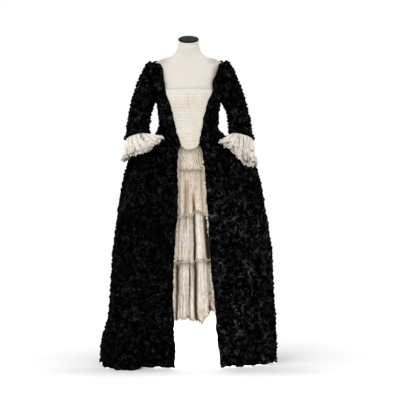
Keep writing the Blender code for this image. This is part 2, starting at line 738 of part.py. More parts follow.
def ruffle_grid(side):
    """Rings down a cuff ruffle, from its seam inside the cuff to its wavy edge."""
    rows = RUFFLES[side]
    places = [row.turn for row in rows]
    length_at = smooth_curve(places, [row.length for row in rows])
    flare_at = smooth_curve(places, [row.flare for row in rows])
    wave_at = smooth_curve(places, [row.wave for row in rows])
    lean = math.radians(RUFFLE_LEAN)
    fall = Vector((-side * math.sin(lean), 0.0, -math.cos(lean)))
    across = Vector((side * math.cos(lean), 0.0, -math.sin(lean)))
    above, cuff = SLEEVE_SECTIONS[-2:]
    middle = sleeve_point(side, cuff, 0) / 2 + sleeve_point(side, cuff, math.pi) / 2
    turns = [math.tau * j / RUFFLE_COLUMNS for j in range(RUFFLE_COLUMNS)]
    tucked = []
    smooth = []
    for turn in turns:
        edge = sleeve_point(side, cuff, turn)
        inwards = (middle - edge).normalized() * RUFFLE_TUCK
        tucked.append(edge.lerp(sleeve_point(side, above, turn), 0.18) + inwards)
    smooth.append(tucked)
    for step in RUFFLE_STEPS:
        line = []
        for turn in turns:
            edge = sleeve_point(side, cuff, turn)
            edge += (middle - edge).normalized() * RUFFLE_TUCK
            away = across * math.cos(turn) + Vector((0.0, -math.sin(turn), 0.0))
            length = length_at(math.degrees(turn))
            flare = flare_at(math.degrees(turn)) * (step - RUFFLE_STEPS[0])
            place = edge + fall * length * step + away * flare
            line.append(skirt_clear(place, RUFFLE_CLEARANCE))
        smooth.append(softened_ring(line, 4) if step > RUFFLE_STEPS[0] else line)
    smooth = facing_out(smooth, side)
    directions = grid_directions(smooth, True)
    waved = smooth[:2]
    turns = facing_out([turns], side)[0]
    for step, row, line in zip(RUFFLE_STEPS[1:], smooth[2:], directions[2:]):
        waved.append([
            place + direction * wave_at(math.degrees(turn)) * step**0.8 * math.cos(RUFFLE_WAVES * turn)
            for place, direction, turn in zip(row, line, turns)
        ])
    return waved


def before_side_seam(z):
    """The angle at which a front skirt panel ends."""
    return seam_angle(robe_surface, SIDE_SEAM_ANGLE, z, -1)


def after_side_seam(z):
    """The angle at which a side skirt panel begins."""
    return seam_angle(robe_surface, SIDE_SEAM_ANGLE, z, 1)


def before_sack(z):
    """The angle at which a side skirt panel ends, at the pleated back."""
    return seam_angle(robe_surface, SACK_SEAM_ANGLE, z, -1)


def build_robe(cloth):
    """The black open robe: bodice, skirt panels, pleated back and sleeves."""
    for side, name in ((-1, "right"), (1, "left")):
        surface_wall(f"bodice_front_{name}", robe_surface, bodice_front_places(side), ROBE_CLOTH, cloth)

        def front(z, side=side):
            return opening_angle(side, z)

        heights = skirt_heights(SKIRT_ROWS, WAIST_SEAM_Z - SEAM)
        panels = {
            f"skirt_front_{name}": skirt_places(side, front, before_side_seam, heights, 12),
            f"skirt_side_{name}": skirt_places(side, after_side_seam, before_sack, heights, 22),
        }
        for panel, places in panels.items():
            surface_wall(panel, robe_surface, places, ROBE_CLOTH, cloth)
        grid = sleeve_grid(side)
        cloth_wall(f"sleeve_{name}", grid, grid_directions(grid, True), ROBE_CLOTH, cloth, True)
    surface_wall("bodice_back", robe_surface, bodice_back_places(), ROBE_CLOTH, cloth)
    surface_wall("sack_back", sack_surface, sack_places(), ROBE_CLOTH, cloth)


def build_stomacher(cloth):
    """The stiff pale front that fills the robe's opening and ends in a rounded point."""
    places = []
    for row in STOMACHER_WIDTHS[::-1]:
        first = ROBE.angle_at(-row.right, row.z)
        last = ROBE.angle_at(row.left, row.z)
        places.append([(angle, row.z) for angle in steps_between(first, last, 13)])
    surface_wall("stomacher", stomacher_surface, places, STOMACHER_CLOTH, cloth)


def build_petticoat(cloth):
    """The pale petticoat, whole round the form, and its three flounces in front."""
    near = steps_between(FLOUNCE_FIRST_ANGLE, FLOUNCE_LAST_ANGLE, FLOUNCE_COLUMNS + 1)
    far = steps_between(FLOUNCE_LAST_ANGLE, FLOUNCE_FIRST_ANGLE + 360.0, 21)
    angles = near + far[1:-1]
    places = [[(a if a < 180 else a - 360, z) for a in angles] for z in PETTICOAT_ROWS]
    surface_wall("petticoat", petticoat_surface, places, PLAIN_CLOTH, cloth, True)
    for flounce in FLOUNCES:
        places = []
        for t in (0.0, 0.3, 0.65, 1.0):
            z = flounce.top_z + (flounce.hem_z - flounce.top_z) * t
            row = []
            for j, angle in enumerate(near):
                sway = HEM_SWAY * t * math.sin(0.9 * j + 5 * flounce.top_z)
                row.append((angle, z + sway))
            places.append(row)
        surface_wall(flounce.name, flounce_surface(flounce), places, PLAIN_CLOTH, cloth)


def build_ruffles(cloth):
    """The gathered cuff ruffle below each sleeve."""
    for side, name in ((-1, "right"), (1, "left")):
        grid = ruffle_grid(side)
        directions = grid_directions(grid, True)
        cloth_wall(f"cuff_ruffle_{name}", grid, directions, RUFFLE_CLOTH, cloth, True)


def closed_stack(name, rings, material):
    """A solid through a stack of rings from the bottom up, closed at both ends."""
    count = len(rings[0])
    vertices = [point for ring in rings for point in ring]
    faces = []
    for i in range(len(rings) - 1):
        for j in range(count):
            k = (j + 1) % count
            low, high = i * count, (i + 1) * count
            faces.append((low + j, low + k, high + k, high + j))
    faces.append(tuple(range(count))[::-1])
    top = (len(rings) - 1) * count
    faces.append(tuple(range(top, top + count)))
    return add_mesh(name, vertices, faces, material, smooth_angle=35.0)


def round_ring(radius, z, count):
    """A level ring of points round the standing axis."""
    turns = [math.tau * j / count for j in range(count)]
    return [Vector((radius * math.cos(t), radius * math.sin(t), z)) for t in turns]


def tilted(points, tilt):
    """Points tipped forwards about the middle of the neck's top."""
    middle = Vector((0.0, 0.0, CAP_CENTRE_Z))
    turn = Matrix.Rotation(math.radians(tilt), 3, "X")
    return [middle + turn @ (point - middle) for point in points]


def build_form(linen, black, white):
    """The dress form: a smooth torso with a slanting neck, its cap, and a plain stand."""
    count = 28
    angles = [360.0 * j / count for j in range(count)]
    heights = [row.z for row in FORM_SECTIONS]
    rings = [[form_surface(angle, z) for angle in angles] for z in heights]
    cap_bottom = CAP_CENTRE_Z - CAP_THICKNESS / 2
    ring_bottom = cap_bottom - SEAM - RING_THICKNESS
    neck_radius = CAP_RADIUS * 0.98
    neck_top = [
        Vector((neck_radius * math.sin(math.radians(a)), -neck_radius * math.cos(math.radians(a)), 0.0))
        for a in angles
    ]
    neck_top = [point + Vector((0.0, 0.0, ring_bottom - SEAM)) for point in neck_top]
    half_way = [point - Vector((0.0, 0.0, 0.012)) for point in neck_top]
    rings.append(tilted(half_way, NECK_TILT / 2))
    rings.append(tilted(neck_top, NECK_TILT))
    closed_stack("form_torso", rings, linen)

    bead = [(0.985, 0.0), (1.03, 0.3), (1.03, 0.7), (0.985, 1.0)]
    ring = [
        tilted(round_ring(CAP_RADIUS * scale, ring_bottom + RING_THICKNESS * share, 24), NECK_TILT)
        for scale, share in bead
    ]
    closed_stack("neck_ring", ring, white)
    dome = [(0.94, 0.0), (1.0, 0.18), (1.0, 0.62), (0.94, 0.86), (0.7, 1.0)]
    cap = [
        tilted(round_ring(CAP_RADIUS * scale, cap_bottom + CAP_THICKNESS * share, 24), NECK_TILT)
        for scale, share in dome
    ]
    closed_stack("neck_cap", cap, black)

    base = [(BASE_RADIUS, 0.0), (BASE_RADIUS, 0.6), (BASE_RADIUS * 0.97, 1.0)]
    rings = [round_ring(radius, BASE_THICKNESS * share, 36) for radius, share in base]
    rings.append(round_ring(HUB_RADIUS, BASE_THICKNESS, 36))
    rings.append(round_ring(HUB_RADIUS * 0.8, HUB_HEIGHT, 36))
    closed_stack("stand_base", rings, white)
    pole = [round_ring(POLE_RADIUS, z, 16) for z in (HUB_HEIGHT + SEAM, FORM_BOTTOM_Z - SEAM)]
    closed_stack("stand_pole", pole, white)


def main():
    """Builds the whole part."""
    clear_scene()
    black_cloth = make_material("black_robe_cloth", (0.012, 0.012, 0.014), 0.75)
    cream_cloth = make_material("cream_petticoat_cloth", (0.80, 0.72, 0.60), 0.85)
    stomacher_cloth = make_material("cream_stomacher_cloth", (0.86, 0.81, 0.72), 0.8)
    ruffle_cloth = make_material("white_ruffle_cloth", (0.85, 0.80, 0.74), 0.85)
    linen = make_material("form_linen", (0.82, 0.78, 0.72), 0.8)
    black_cap = make_material("black_cap", (0.03, 0.035, 0.035), 0.35)
    white_metal = make_material("white_metal", (0.88, 0.88, 0.87), 0.4)
    build_robe(black_cloth)
    build_stomacher(stomacher_cloth)
    build_petticoat(cream_cloth)
    build_ruffles(ruffle_cloth)
    build_form(linen, black_cap, white_metal)


main()
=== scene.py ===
import math
from collections import namedtuple

import bpy
import numpy as np
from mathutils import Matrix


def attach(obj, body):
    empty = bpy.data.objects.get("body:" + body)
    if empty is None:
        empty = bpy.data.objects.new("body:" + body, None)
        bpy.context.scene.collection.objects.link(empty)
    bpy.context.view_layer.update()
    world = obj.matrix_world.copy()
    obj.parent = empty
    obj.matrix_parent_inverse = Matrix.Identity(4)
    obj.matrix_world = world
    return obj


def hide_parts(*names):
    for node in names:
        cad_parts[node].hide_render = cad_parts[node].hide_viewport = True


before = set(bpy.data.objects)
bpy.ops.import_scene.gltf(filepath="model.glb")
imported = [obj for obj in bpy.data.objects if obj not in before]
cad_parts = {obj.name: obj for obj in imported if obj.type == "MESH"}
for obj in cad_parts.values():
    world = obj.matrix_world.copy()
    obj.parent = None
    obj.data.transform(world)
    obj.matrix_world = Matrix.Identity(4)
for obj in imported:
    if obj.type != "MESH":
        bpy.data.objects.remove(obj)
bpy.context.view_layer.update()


def table(columns, rows):
    """Rows of values with named columns."""
    kind = namedtuple("Row", columns)
    return [kind(*row) for row in rows]


# Driving dimensions
SEAM = 0.0004
ROBE_CLOTH = 0.0026
PLAIN_CLOTH = 0.0016
RUFFLE_CLOTH = 0.0012
STOMACHER_CLOTH = 0.0022
STOMACHER_CLEARANCE = 0.0012
WAIST_SEAM_Z = 1.075
SHOULDER_NECK_Z = 1.4035
ARM_TOP_Z = 1.386
ARM_BOTTOM_Z = 1.214
ARM_FRONT_ANGLE = 28.0
ARM_BACK_ANGLE = 32.0
SIDE_SEAM_ANGLE = 38.0
SACK_LIFT = 0.0042
SACK_SEAM_ANGLE = 124.0
PETTICOAT_TOP_Z = 1.062
PETTICOAT_HEM_Z = 0.212
NECK_TILT = 24.0
CAP_RADIUS = 0.0477
CAP_THICKNESS = 0.008
RING_THICKNESS = 0.004
CAP_CENTRE_Z = 1.4985

# Half-widths to the wearer's right and left, and depths to the front and back, at each height
ROBE_SECTIONS = table("z right left front back", [
    (0.000, 0.398, 0.398, 0.290, 0.640),
    (0.014, 0.398, 0.398, 0.289, 0.590),
    (0.045, 0.397, 0.398, 0.287, 0.545),
    (0.100, 0.391, 0.397, 0.284, 0.508),
    (0.165, 0.374, 0.395, 0.279, 0.480),
    (0.221, 0.361, 0.393, 0.274, 0.462),
    (0.323, 0.353, 0.388, 0.264, 0.436),
    (0.519, 0.344, 0.381, 0.240, 0.392),
    (0.635, 0.332, 0.366, 0.224, 0.366),
    (0.774, 0.314, 0.343, 0.203, 0.334),
    (0.844, 0.301, 0.329, 0.190, 0.314),
    (0.914, 0.283, 0.309, 0.176, 0.286),
    (0.980, 0.246, 0.262, 0.157, 0.232),
    (1.030, 0.192, 0.202, 0.1385, 0.160),
    (1.056, 0.155, 0.160, 0.1275, 0.118),
    (1.075, 0.1405, 0.1420, 0.1215, 0.103),
    (1.095, 0.1355, 0.1355, 0.1190, 0.099),
    (1.125, 0.1370, 0.1370, 0.1200, 0.098),
    (1.160, 0.1405, 0.1405, 0.1245, 0.099),
    (1.216, 0.1490, 0.1500, 0.1365, 0.102),
    (1.254, 0.1550, 0.1550, 0.1405, 0.104),
    (1.300, 0.1610, 0.1610, 0.1250, 0.106),
    (1.350, 0.1700, 0.1700, 0.0900, 0.0970),
    (1.375, 0.1705, 0.1705, 0.0690, 0.0830),
    (1.3905, 0.1640, 0.1640, 0.0580, 0.0740),
    (1.3995, 0.1490, 0.1490, 0.0530, 0.0700),
    (1.4085, 0.1300, 0.1300, 0.0510, 0.0680),
    (1.4240, 0.0990, 0.0990, 0.0500, 0.0650),
])
# The back of the sack falls straight from the neck, clear of the fitted bodice
SACK_FALL = table("z back", [
    (0.844, 0.314),
    (0.914, 0.291),
    (0.980, 0.268),
    (1.030, 0.250),
    (1.086, 0.229),
    (1.160, 0.200),
    (1.216, 0.178),
    (1.300, 0.144),
    (1.350, 0.121),
    (1.375, 0.106),
    (1.3905, 0.094),
    (1.4085, 0.082),
])
PETTICOAT_SECTIONS = table("z right left front back", [
    (0.200, 0.330, 0.330, 0.246, 0.300),
    (0.300, 0.325, 0.325, 0.232, 0.290),
    (0.500, 0.310, 0.310, 0.206, 0.270),
    (0.700, 0.290, 0.290, 0.176, 0.240),
    (0.840, 0.262, 0.262, 0.152, 0.205),
    (0.900, 0.238, 0.238, 0.141, 0.182),
    (0.950, 0.205, 0.205, 0.131, 0.158),
    (1.000, 0.160, 0.160, 0.119, 0.128),
    (1.040, 0.1300, 0.1300, 0.1085, 0.0980),
    (1.075, 0.1233, 0.1233, 0.1032, 0.0910),
])
FORM_SECTIONS = table("z right left front back", [
    (0.845, 0.150, 0.150, 0.100, 0.120),
    (0.900, 0.164, 0.164, 0.104, 0.128),
    (0.950, 0.162, 0.162, 0.102, 0.122),
    (1.015, 0.133, 0.133, 0.101, 0.101),
    (1.040, 0.1265, 0.1265, 0.1010, 0.0945),
    (1.062, 0.1225, 0.1225, 0.1010, 0.0900),
    (1.086, 0.1215, 0.1215, 0.1030, 0.0880),
    (1.120, 0.1245, 0.1245, 0.1050, 0.0880),
    (1.160, 0.1290, 0.1290, 0.1115, 0.0895),
    (1.216, 0.1380, 0.1380, 0.1235, 0.0925),
    (1.254, 0.1440, 0.1440, 0.1275, 0.0945),
    (1.300, 0.1500, 0.1500, 0.1130, 0.0965),
    (1.350, 0.1610, 0.1610, 0.0795, 0.0885),
    (1.375, 0.1645, 0.1645, 0.0615, 0.0765),
    (1.386, 0.1597, 0.1597, 0.0535, 0.0690),
    (1.395, 0.1462, 0.1462, 0.0490, 0.0655),
    (1.404, 0.1275, 0.1275, 0.0470, 0.0630),
    (1.420, 0.0950, 0.0950, 0.0450, 0.0595),
    (1.439, 0.0600, 0.0600, 0.0460, 0.0550),
    (1.453, 0.0530, 0.0530, 0.0470, 0.0500),
])

# How far the robe's two front edges stand from the middle, at each height
ROBE_OPENING = table("z right left", [
    (0.000, 0.063, 0.150),
    (0.120, 0.064, 0.138),
    (0.200, 0.064, 0.128),
    (0.300, 0.065, 0.122),
    (0.500, 0.063, 0.112),
    (0.600, 0.060, 0.107),
    (0.700, 0.057, 0.098),
    (0.800, 0.056, 0.088),
    (0.900, 0.057, 0.076),
    (0.930, 0.055, 0.071),
    (0.970, 0.049, 0.066),
    (0.988, 0.043, 0.059),
    (1.004, 0.038, 0.050),
    (1.020, 0.041, 0.051),
    (1.040, 0.048, 0.055),
    (1.095, 0.062, 0.065),
    (1.155, 0.075, 0.078),
    (1.216, 0.094, 0.097),
    (1.257, 0.108, 0.111),
    (1.303, 0.113, 0.116),
    (1.345, 0.118, 0.133),
    (1.390, 0.132, 0.137),
])
STOMACHER_WIDTHS = table("z right left", [
    (0.981, 0.004, 0.015),
    (0.984, 0.014, 0.026),
    (0.990, 0.023, 0.036),
    (1.002, 0.034, 0.047),
    (1.016, 0.042, 0.053),
    (1.032, 0.049, 0.057),
    (1.048, 0.056, 0.061),
    (1.062, 0.061, 0.065),
    (1.078, 0.068, 0.071),
    (1.095, 0.074, 0.077),
    (1.120, 0.080, 0.083),
    (1.160, 0.089, 0.092),
    (1.216, 0.106, 0.109),
    (1.257, 0.119, 0.122),
])

# A fold stands out at one angle, and a negative height is a trough
ROBE_FOLDS = table("angle width height top_z", [
    (-112, 6.0, 0.014, 1.00),
    (-101, 4.5, -0.012, 0.98),
    (-92, 5.0, 0.012, 0.96),
    (-82, 4.0, -0.013, 0.94),
    (-72, 5.0, 0.013, 0.96),
    (-62, 4.0, -0.014, 0.80),
    (-52, 5.0, 0.010, 0.94),
    (-41, 4.0, 0.018, 0.62),
    (-34, 3.5, -0.010, 0.70),
    (-25, 5.0, 0.008, 0.90),
    (-15, 3.0, -0.006, 0.92),
    (29, 4.0, -0.008, 0.92),
    (36, 4.0, 0.009, 0.94),
    (44, 4.0, 0.012, 0.86),
    (52, 4.0, -0.012, 0.80),
    (61, 5.0, 0.010, 0.94),
    (71, 4.5, -0.013, 0.90),
    (82, 5.0, 0.013, 0.96),
    (92, 4.0, -0.012, 0.92),
    (101, 5.0, 0.013, 0.98),
    (112, 5.0, -0.010, 0.96),
])
# Box pleats stitched down at the back of the neck, flat on top, that open downwards
SACK_PLEATS = table("angle half_width_top half_width_hem height_top height_hem", [
    (156.0, 6.5, 6.0, 0.004, 0.020),
    (170.0, 5.5, 5.5, 0.009, 0.026),
    (190.0, 5.5, 5.5, 0.009, 0.026),
    (204.0, 6.5, 6.0, 0.004, 0.020),
])
SACK_FOLDS = table("angle width height top_z", [
    (131, 3.5, -0.010, 0.90),
    (139, 4.0, 0.014, 0.94),
    (148, 3.0, -0.010, 0.90),
    (180, 4.5, -0.010, 1.20),
    (212, 3.0, -0.010, 0.90),
    (221, 4.0, 0.014, 0.94),
    (229, 3.5, -0.010, 0.90),
])
PETTICOAT_FOLDS = table("angle width height top_z", [
    (-27, 3.0, 0.008, 0.80),
    (-20, 2.5, -0.008, 0.80),
    (-13, 2.5, 0.007, 0.86),
    (-8.5, 1.9, -0.011, 0.86),
    (-4.0, 2.4, 0.006, 0.90),
    (0.5, 1.7, -0.008, 0.70),
    (5.8, 1.7, -0.014, 0.90),
    (11.5, 3.6, 0.008, 0.90),
    (18.2, 2.0, -0.012, 0.90),
    (23.0, 2.4, 0.008, 0.86),
    (29, 2.5, -0.009, 0.80),
    (36, 3.5, 0.009, 0.80),
    (46, 5.0, -0.009, 0.80),
    (-36, 5.0, -0.009, 0.80),
])
SACK_TOP_Z = 1.4015
FAR_FOLD_SPACING = 28.8
FAR_FOLD_HEIGHT = 0.007

# Each flounce hangs from its top height to its hem, and stands further out at the hem
FLOUNCES = table("name top_z hem_z lift_top lift_hem waves wave_height", [
    ("petticoat_flounce_1", 1.014, 0.884, 0.0026, 0.0070, 12, 0.0016),
    ("petticoat_flounce_2", 0.900, 0.679, 0.0020, 0.0100, 12, 0.0026),
    ("petticoat_flounce_3", 0.710, 0.468, 0.0019, 0.0100, 12, 0.0028),
])
FLOUNCE_FIRST_ANGLE = -31.0
FLOUNCE_LAST_ANGLE = 41.0
# The wearer's right side of the robe spreads forwards on the floor
SPREAD_REACH = 0.145
SPREAD_TOP_Z = 0.190

# Sections across the sleeve: its outer and inner ends, its middle in depth and its half-depth
SLEEVE_SECTIONS = table("outer_x outer_z inner_x inner_z mid_y half_depth front_rise", [
    (0.181, 1.3925, 0.1545, 1.2115, 0.000, 0.062, 0.000),
    (0.203, 1.3640, 0.1590, 1.2030, -0.002, 0.064, 0.000),
    (0.226, 1.3130, 0.1650, 1.1890, -0.007, 0.064, 0.000),
    (0.246, 1.2580, 0.1715, 1.1710, -0.017, 0.061, 0.000),
    (0.263, 1.2000, 0.1775, 1.1490, -0.034, 0.058, 0.002),
    (0.272, 1.1450, 0.1800, 1.1180, -0.057, 0.056, 0.004),
    (0.277, 1.1000, 0.1815, 1.0880, -0.080, 0.054, 0.007),
    (0.279, 1.0640, 0.1825, 1.0700, -0.096, 0.052, 0.010),
    (0.289, 1.0270, 0.1805, 1.0540, -0.112, 0.056, 0.011),
])
SLEEVE_SWING = {-1: 0.000, 1: 0.010}

# Round the cuff from the outer side, through the front, the inner side and the back
RUFFLES = {
    -1: table("turn length flare wave", [
        (0, 0.078, 0.056, 0.0075),
        (45, 0.084, 0.044, 0.0080),
        (90, 0.094, 0.036, 0.0080),
        (120, 0.078, 0.050, 0.0080),
        (147, 0.058, 0.066, 0.0075),
        (180, 0.050, 0.034, 0.0050),
        (225, 0.050, 0.018, 0.0020),
        (280, 0.066, 0.026, 0.0016),
        (320, 0.078, 0.046, 0.0016),
        (360, 0.078, 0.056, 0.0075),
    ]),
    1: table("turn length flare wave", [
        (0, 0.092, 0.070, 0.0075),
        (40, 0.126, 0.044, 0.0080),
        (65, 0.112, 0.036, 0.0080),
        (100, 0.088, 0.034, 0.0080),
        (147, 0.060, 0.044, 0.0070),
        (180, 0.050, 0.026, 0.0050),
        (225, 0.050, 0.018, 0.0020),
        (280, 0.066, 0.028, 0.0016),
        (320, 0.080, 0.052, 0.0018),
        (360, 0.092, 0.070, 0.0075),
    ]),
}
# Brown marks on each ruffle
RUFFLE_SPOTS = {
    -1: table("x z width height tone", [
        (-0.2845, 0.9325, 0.0090, 0.0080, 0.85),
        (-0.2980, 0.9340, 0.0080, 0.0090, 0.75),
        (-0.2500, 0.9600, 0.0110, 0.0080, 0.75),
        (-0.2790, 0.9730, 0.0040, 0.0160, 0.55),
        (-0.2140, 1.0420, 0.0035, 0.0140, 0.95),
        (-0.2040, 1.0260, 0.0040, 0.0070, 0.80),
        (-0.1955, 0.9860, 0.0060, 0.0060, 0.45),
        (-0.1790, 0.9800, 0.0030, 0.0040, 0.70),
        (-0.1710, 0.9900, 0.0030, 0.0050, 0.80),
    ]),
    1: table("x z width height tone", [
        (0.1780, 1.0100, 0.0090, 0.0070, 0.80),
        (0.2040, 0.9910, 0.0070, 0.0050, 0.85),
        (0.2245, 0.9870, 0.0060, 0.0080, 0.60),
        (0.2470, 0.9730, 0.0035, 0.0070, 0.85),
        (0.2900, 0.9760, 0.0070, 0.0060, 0.70),
        (0.2835, 0.9415, 0.0035, 0.0045, 0.85),
        (0.2990, 0.9460, 0.0030, 0.0045, 0.75),
        (0.2900, 0.9260, 0.0035, 0.0040, 0.80),
        (0.3010, 0.9190, 0.0030, 0.0035, 0.70),
        (0.2310, 1.0190, 0.0032, 0.0300, 0.60),
        (0.2510, 1.0080, 0.0032, 0.0300, 0.65),
    ]),
}
# Pleats, finer gathers, the finest ones and the scallops round a ruffle's edge
RUFFLE_WAVES = 15
RUFFLE_GATHERS = 43
RUFFLE_CRIMPS = 97
RUFFLE_SCALLOPS = 34
RUFFLE_TIP_RISE = {-1: 0.009, 1: -0.003}
RUFFLE_LEAN = 25.0
RUFFLE_TUCK = 0.0051
RUFFLE_CLEARANCE = 0.0105
RUFFLE_START = 0.03

# Fine grids of the visible cloth, in rows down and columns across
SKIRT_FRONT_GRID = (321, 61)
SKIRT_SIDE_GRID = (281, 141)
SACK_GRID = (241, 151)
BODICE_FRONT_GRID = (111, 45)
BODICE_BACK_GRID = (81, 73)
SLEEVE_GRID = (101, 136)
STOMACHER_GRID = (101, 81)
FLOUNCE_COLUMNS = 281
FLOUNCE_ROW_HEIGHT = 0.0060
PETTICOAT_NEAR_COLUMNS = 241
PETTICOAT_FINE_Z = 0.50
RUFFLE_GRID = (33, 600)
SEAM_OVERLAP = 0.0016
FLOOR_GAP = 0.0003
SKIRT_FLOOR_Z = 0.0012
TRAIN_FACING_Z = 0.014
TUFT_SIZE = 0.0165
TUFT_HEIGHT = 0.0062
CURL_SIZE = 0.0150
CURL_HEIGHT = 0.0036
PUCKER_SPACING = 0.0185
RIB_SPACING = 0.0153
FINE_RIB_SPACING = 0.0072
NET_SPACING = 0.0115
NET_DROP = 0.019
NECK_PIECE_COLUMNS = 96
FORM_COLUMNS = 128
FORM_ROWS = 140
FRONT_BAND = 0.046
STRAP_TOP_Z = 1.3995
# How much further the robe's front edges reach over the petticoat than its pattern does
OPENING_TRIMS = table("z right left", [
    (0.00, 0.0070, 0.0030),
    (0.10, 0.0060, 0.0030),
    (0.20, 0.0000, 0.0030),
    (0.30, -0.0030, 0.0030),
    (0.35, -0.0020, 0.0050),
    (0.42, 0.0000, 0.0110),
    (0.48, 0.0000, 0.0130),
    (0.575, 0.0040, 0.0130),
    (0.66, 0.0070, 0.0120),
    (0.72, 0.0105, 0.0100),
    (0.80, 0.0115, 0.0070),
    (0.874, 0.0085, 0.0050),
    (0.95, 0.0045, 0.0030),
    (1.03, 0.0035, 0.0000),
    (1.07, 0.0000, 0.0000),
])
EDGE_LACE_CLOTH = 0.0008
# A sheet's smallest area for its flat size, and its smallest width
LEAST_AREA_SHARE = 0.31
LEAST_SHEET_WIDTH = 0.0101
SIDES = ((-1, "right"), (1, "left"))
SHOULDER_DROP = 0.0085
SHOULDER_DROP_Z = 1.425
SHOULDER_DROP_SPREAD = 0.013

# Sharp creases that the petticoat and its flounces share: each grows from its top height to its full
# height, ends at its low height, and drifts by degrees for each metre down; dark is the painted shade in it
CREASES = table("angle drift width depth dark top_z full_z low_z", [
    (-9.3, 0.0, 0.85, 0.012, 0.95, 0.50, 0.43, 0.0),
    (1.5, 0.0, 0.60, 0.008, 0.62, 0.50, 0.42, 0.0),
    (6.2, 3.0, 1.00, 0.014, 0.97, 0.83, 0.70, 0.0),
    (17.2, -2.0, 1.90, 0.013, 0.80, 0.70, 0.60, 0.45),
    (-4.8, 1.0, 0.55, 0.004, 0.26, 0.66, 0.55, 0.0),
    (10.6, 1.5, 0.60, 0.004, 0.24, 0.48, 0.34, 0.0),
    (-1.6, 1.5, 0.70, 0.004, 0.34, 0.87, 0.78, 0.60),
])
CREASE_MIDDLE_Z = 0.36
# Each flounce's darker colour, its colour for stains and painted shade, its threads' length, its gathers'
# width and its hem's spots
FLOUNCE_CLOTHS = table("dark stain threads gathers spots", [
    ((0.69, 0.60, 0.475), (0.17, 0.10, 0.05), 0.0070, 1.00, 1.300),
    ((0.69, 0.595, 0.47), (0.20, 0.105, 0.045), 0.0150, 1.35, 0.425),
    ((0.70, 0.62, 0.51), (0.055, 0.030, 0.013), 0.0120, 1.35, 0.850),
])
# The lace that shows beyond the robe's front edges, between two heights
EDGE_LACES = table("name side top_z bottom_z reach", [
    ("gown_edge_lace_left", 1, 0.952, 0.575, 0.0075),
    ("gown_edge_lace_left_low", 1, 0.470, 0.225, 0.0065),
    ("gown_edge_lace_right", -1, 0.960, 0.860, 0.0050),
    ("gown_edge_lace_right_low", -1, 0.640, 0.222, 0.0050),
])

# The camera that took the photograph, and the lights around it
CAMERA_PLACE = (0.0535, -7.0, 0.751)
CAMERA_LENS = 135.5
CAMERA_SENSOR = 36.0
CAMERA_REACH = 100.0
KEY_LIGHT_POWER = 62.0
INNER_LIGHT_POWER = 8.0
SUN_POWER = 0.55
FLOOR_HALF_WIDTH = 30.0


class Curve:
    """A smooth curve through points that never overshoots them, straight beyond its two ends."""

    def __init__(self, places, values):
        self.places = np.array(places, float)
        self.values = np.array(values, float)
        self.steps = np.diff(self.places)
        slopes = np.diff(self.values) / self.steps
        before, after = slopes[:-1], slopes[1:]
        level = before * after <= 0
        total = np.where(level, 1.0, before + after)
        inner = np.where(level, 0.0, 2 * before * after / total)
        self.tangents = np.concatenate([slopes[:1], inner, slopes[-1:]])

    def __call__(self, place):
        place = np.asarray(place, float)
        i = np.clip(np.searchsorted(self.places, place, side="right") - 1, 0, len(self.steps) - 1)
        t = (place - self.places[i]) / self.steps[i]
        inside = np.clip(t, 0.0, 1.0)
        keep = (1 + 2 * inside) * (1 - inside) ** 2
        lead = inside * (1 - inside) ** 2 * self.steps[i]
        trail = inside * inside * (inside - 1) * self.steps[i]
        curve = self.values[i] * keep + self.values[i + 1] * (1 - keep)
        curve = curve + self.tangents[i] * lead + self.tangents[i + 1] * trail
        low = self.values[0] + (place - self.places[0]) * self.tangents[0]
        high = self.values[-1] + (place - self.places[-1]) * self.tangents[-1]
        return np.where(place < self.places[0], low, np.where(place > self.places[-1], high, curve))


def curves_of(rows):
    """One smooth curve over the first column for each of the other columns of a table."""
    places = [row[0] for row in rows]
    return {name: Curve(places, [getattr(row, name) for row in rows]) for name in rows[0]._fields[1:]}


def ease(value):
    """Rises smoothly from 0 to 1 as value does."""
    t = np.clip(value, 0.0, 1.0)
    return t * t * (3 - 2 * t)


def peak(value, width):
    """A smooth peak: 1 where value is 0, and near 0 beyond about twice the width."""
    share = value / width
    return np.exp(-share * share)


def length_of(vectors):
    """The lengths of an array of vectors."""
    return np.sqrt((vectors * vectors).sum(-1))


def unit(vectors):
    """An array of vectors made one metre long."""
    return vectors / np.maximum(length_of(vectors), 1e-12)[..., None]


def hashed(cell, seed):
    """A repeatable value from 0 to 1 for each cell of a grid."""
    mixed = cell[..., 0] * 374761393 + cell[..., 1] * 668265263 + cell[..., 2] * 1274126177 + seed * 97531
    mixed = mixed & 0xFFFFFFFF
    mixed = ((mixed ^ (mixed >> 13)) * 1274126177) & 0xFFFFFFFF
    mixed = ((mixed ^ (mixed >> 15)) * 668265263) & 0xFFFFFFFF
    return ((mixed ^ (mixed >> 16)) & 0xFFFFFF) / 0xFFFFFF


def noise(points, size, seed=0):
    """Smooth noise from -1 to 1 that changes over about one size, which may differ by axis."""
    place = points / size
    cell = np.floor(place).astype(np.int64)
    part = ease(place - cell)
    total = 0.0
    for corner in np.ndindex(2, 2, 2):
        weight = np.prod(np.where(np.array(corner) == 1, part, 1 - part), axis=-1)
        total = total + weight * hashed(cell + np.array(corner), seed)
    return total * 2 - 1


def line_noise(values, size, seed=0):
    """Smooth noise from -1 to 1 along a line of values."""
    values = np.asarray(values, float)
    return noise(np.stack([values, values * 0, values * 0], -1), size, seed)


def patches(points, size, seed, offset=0.0):
    """Uneven patches from 0 to 1, which cover more of the cloth with a larger offset."""
    return np.clip(noise(points, size, seed) + offset, 0, 1)


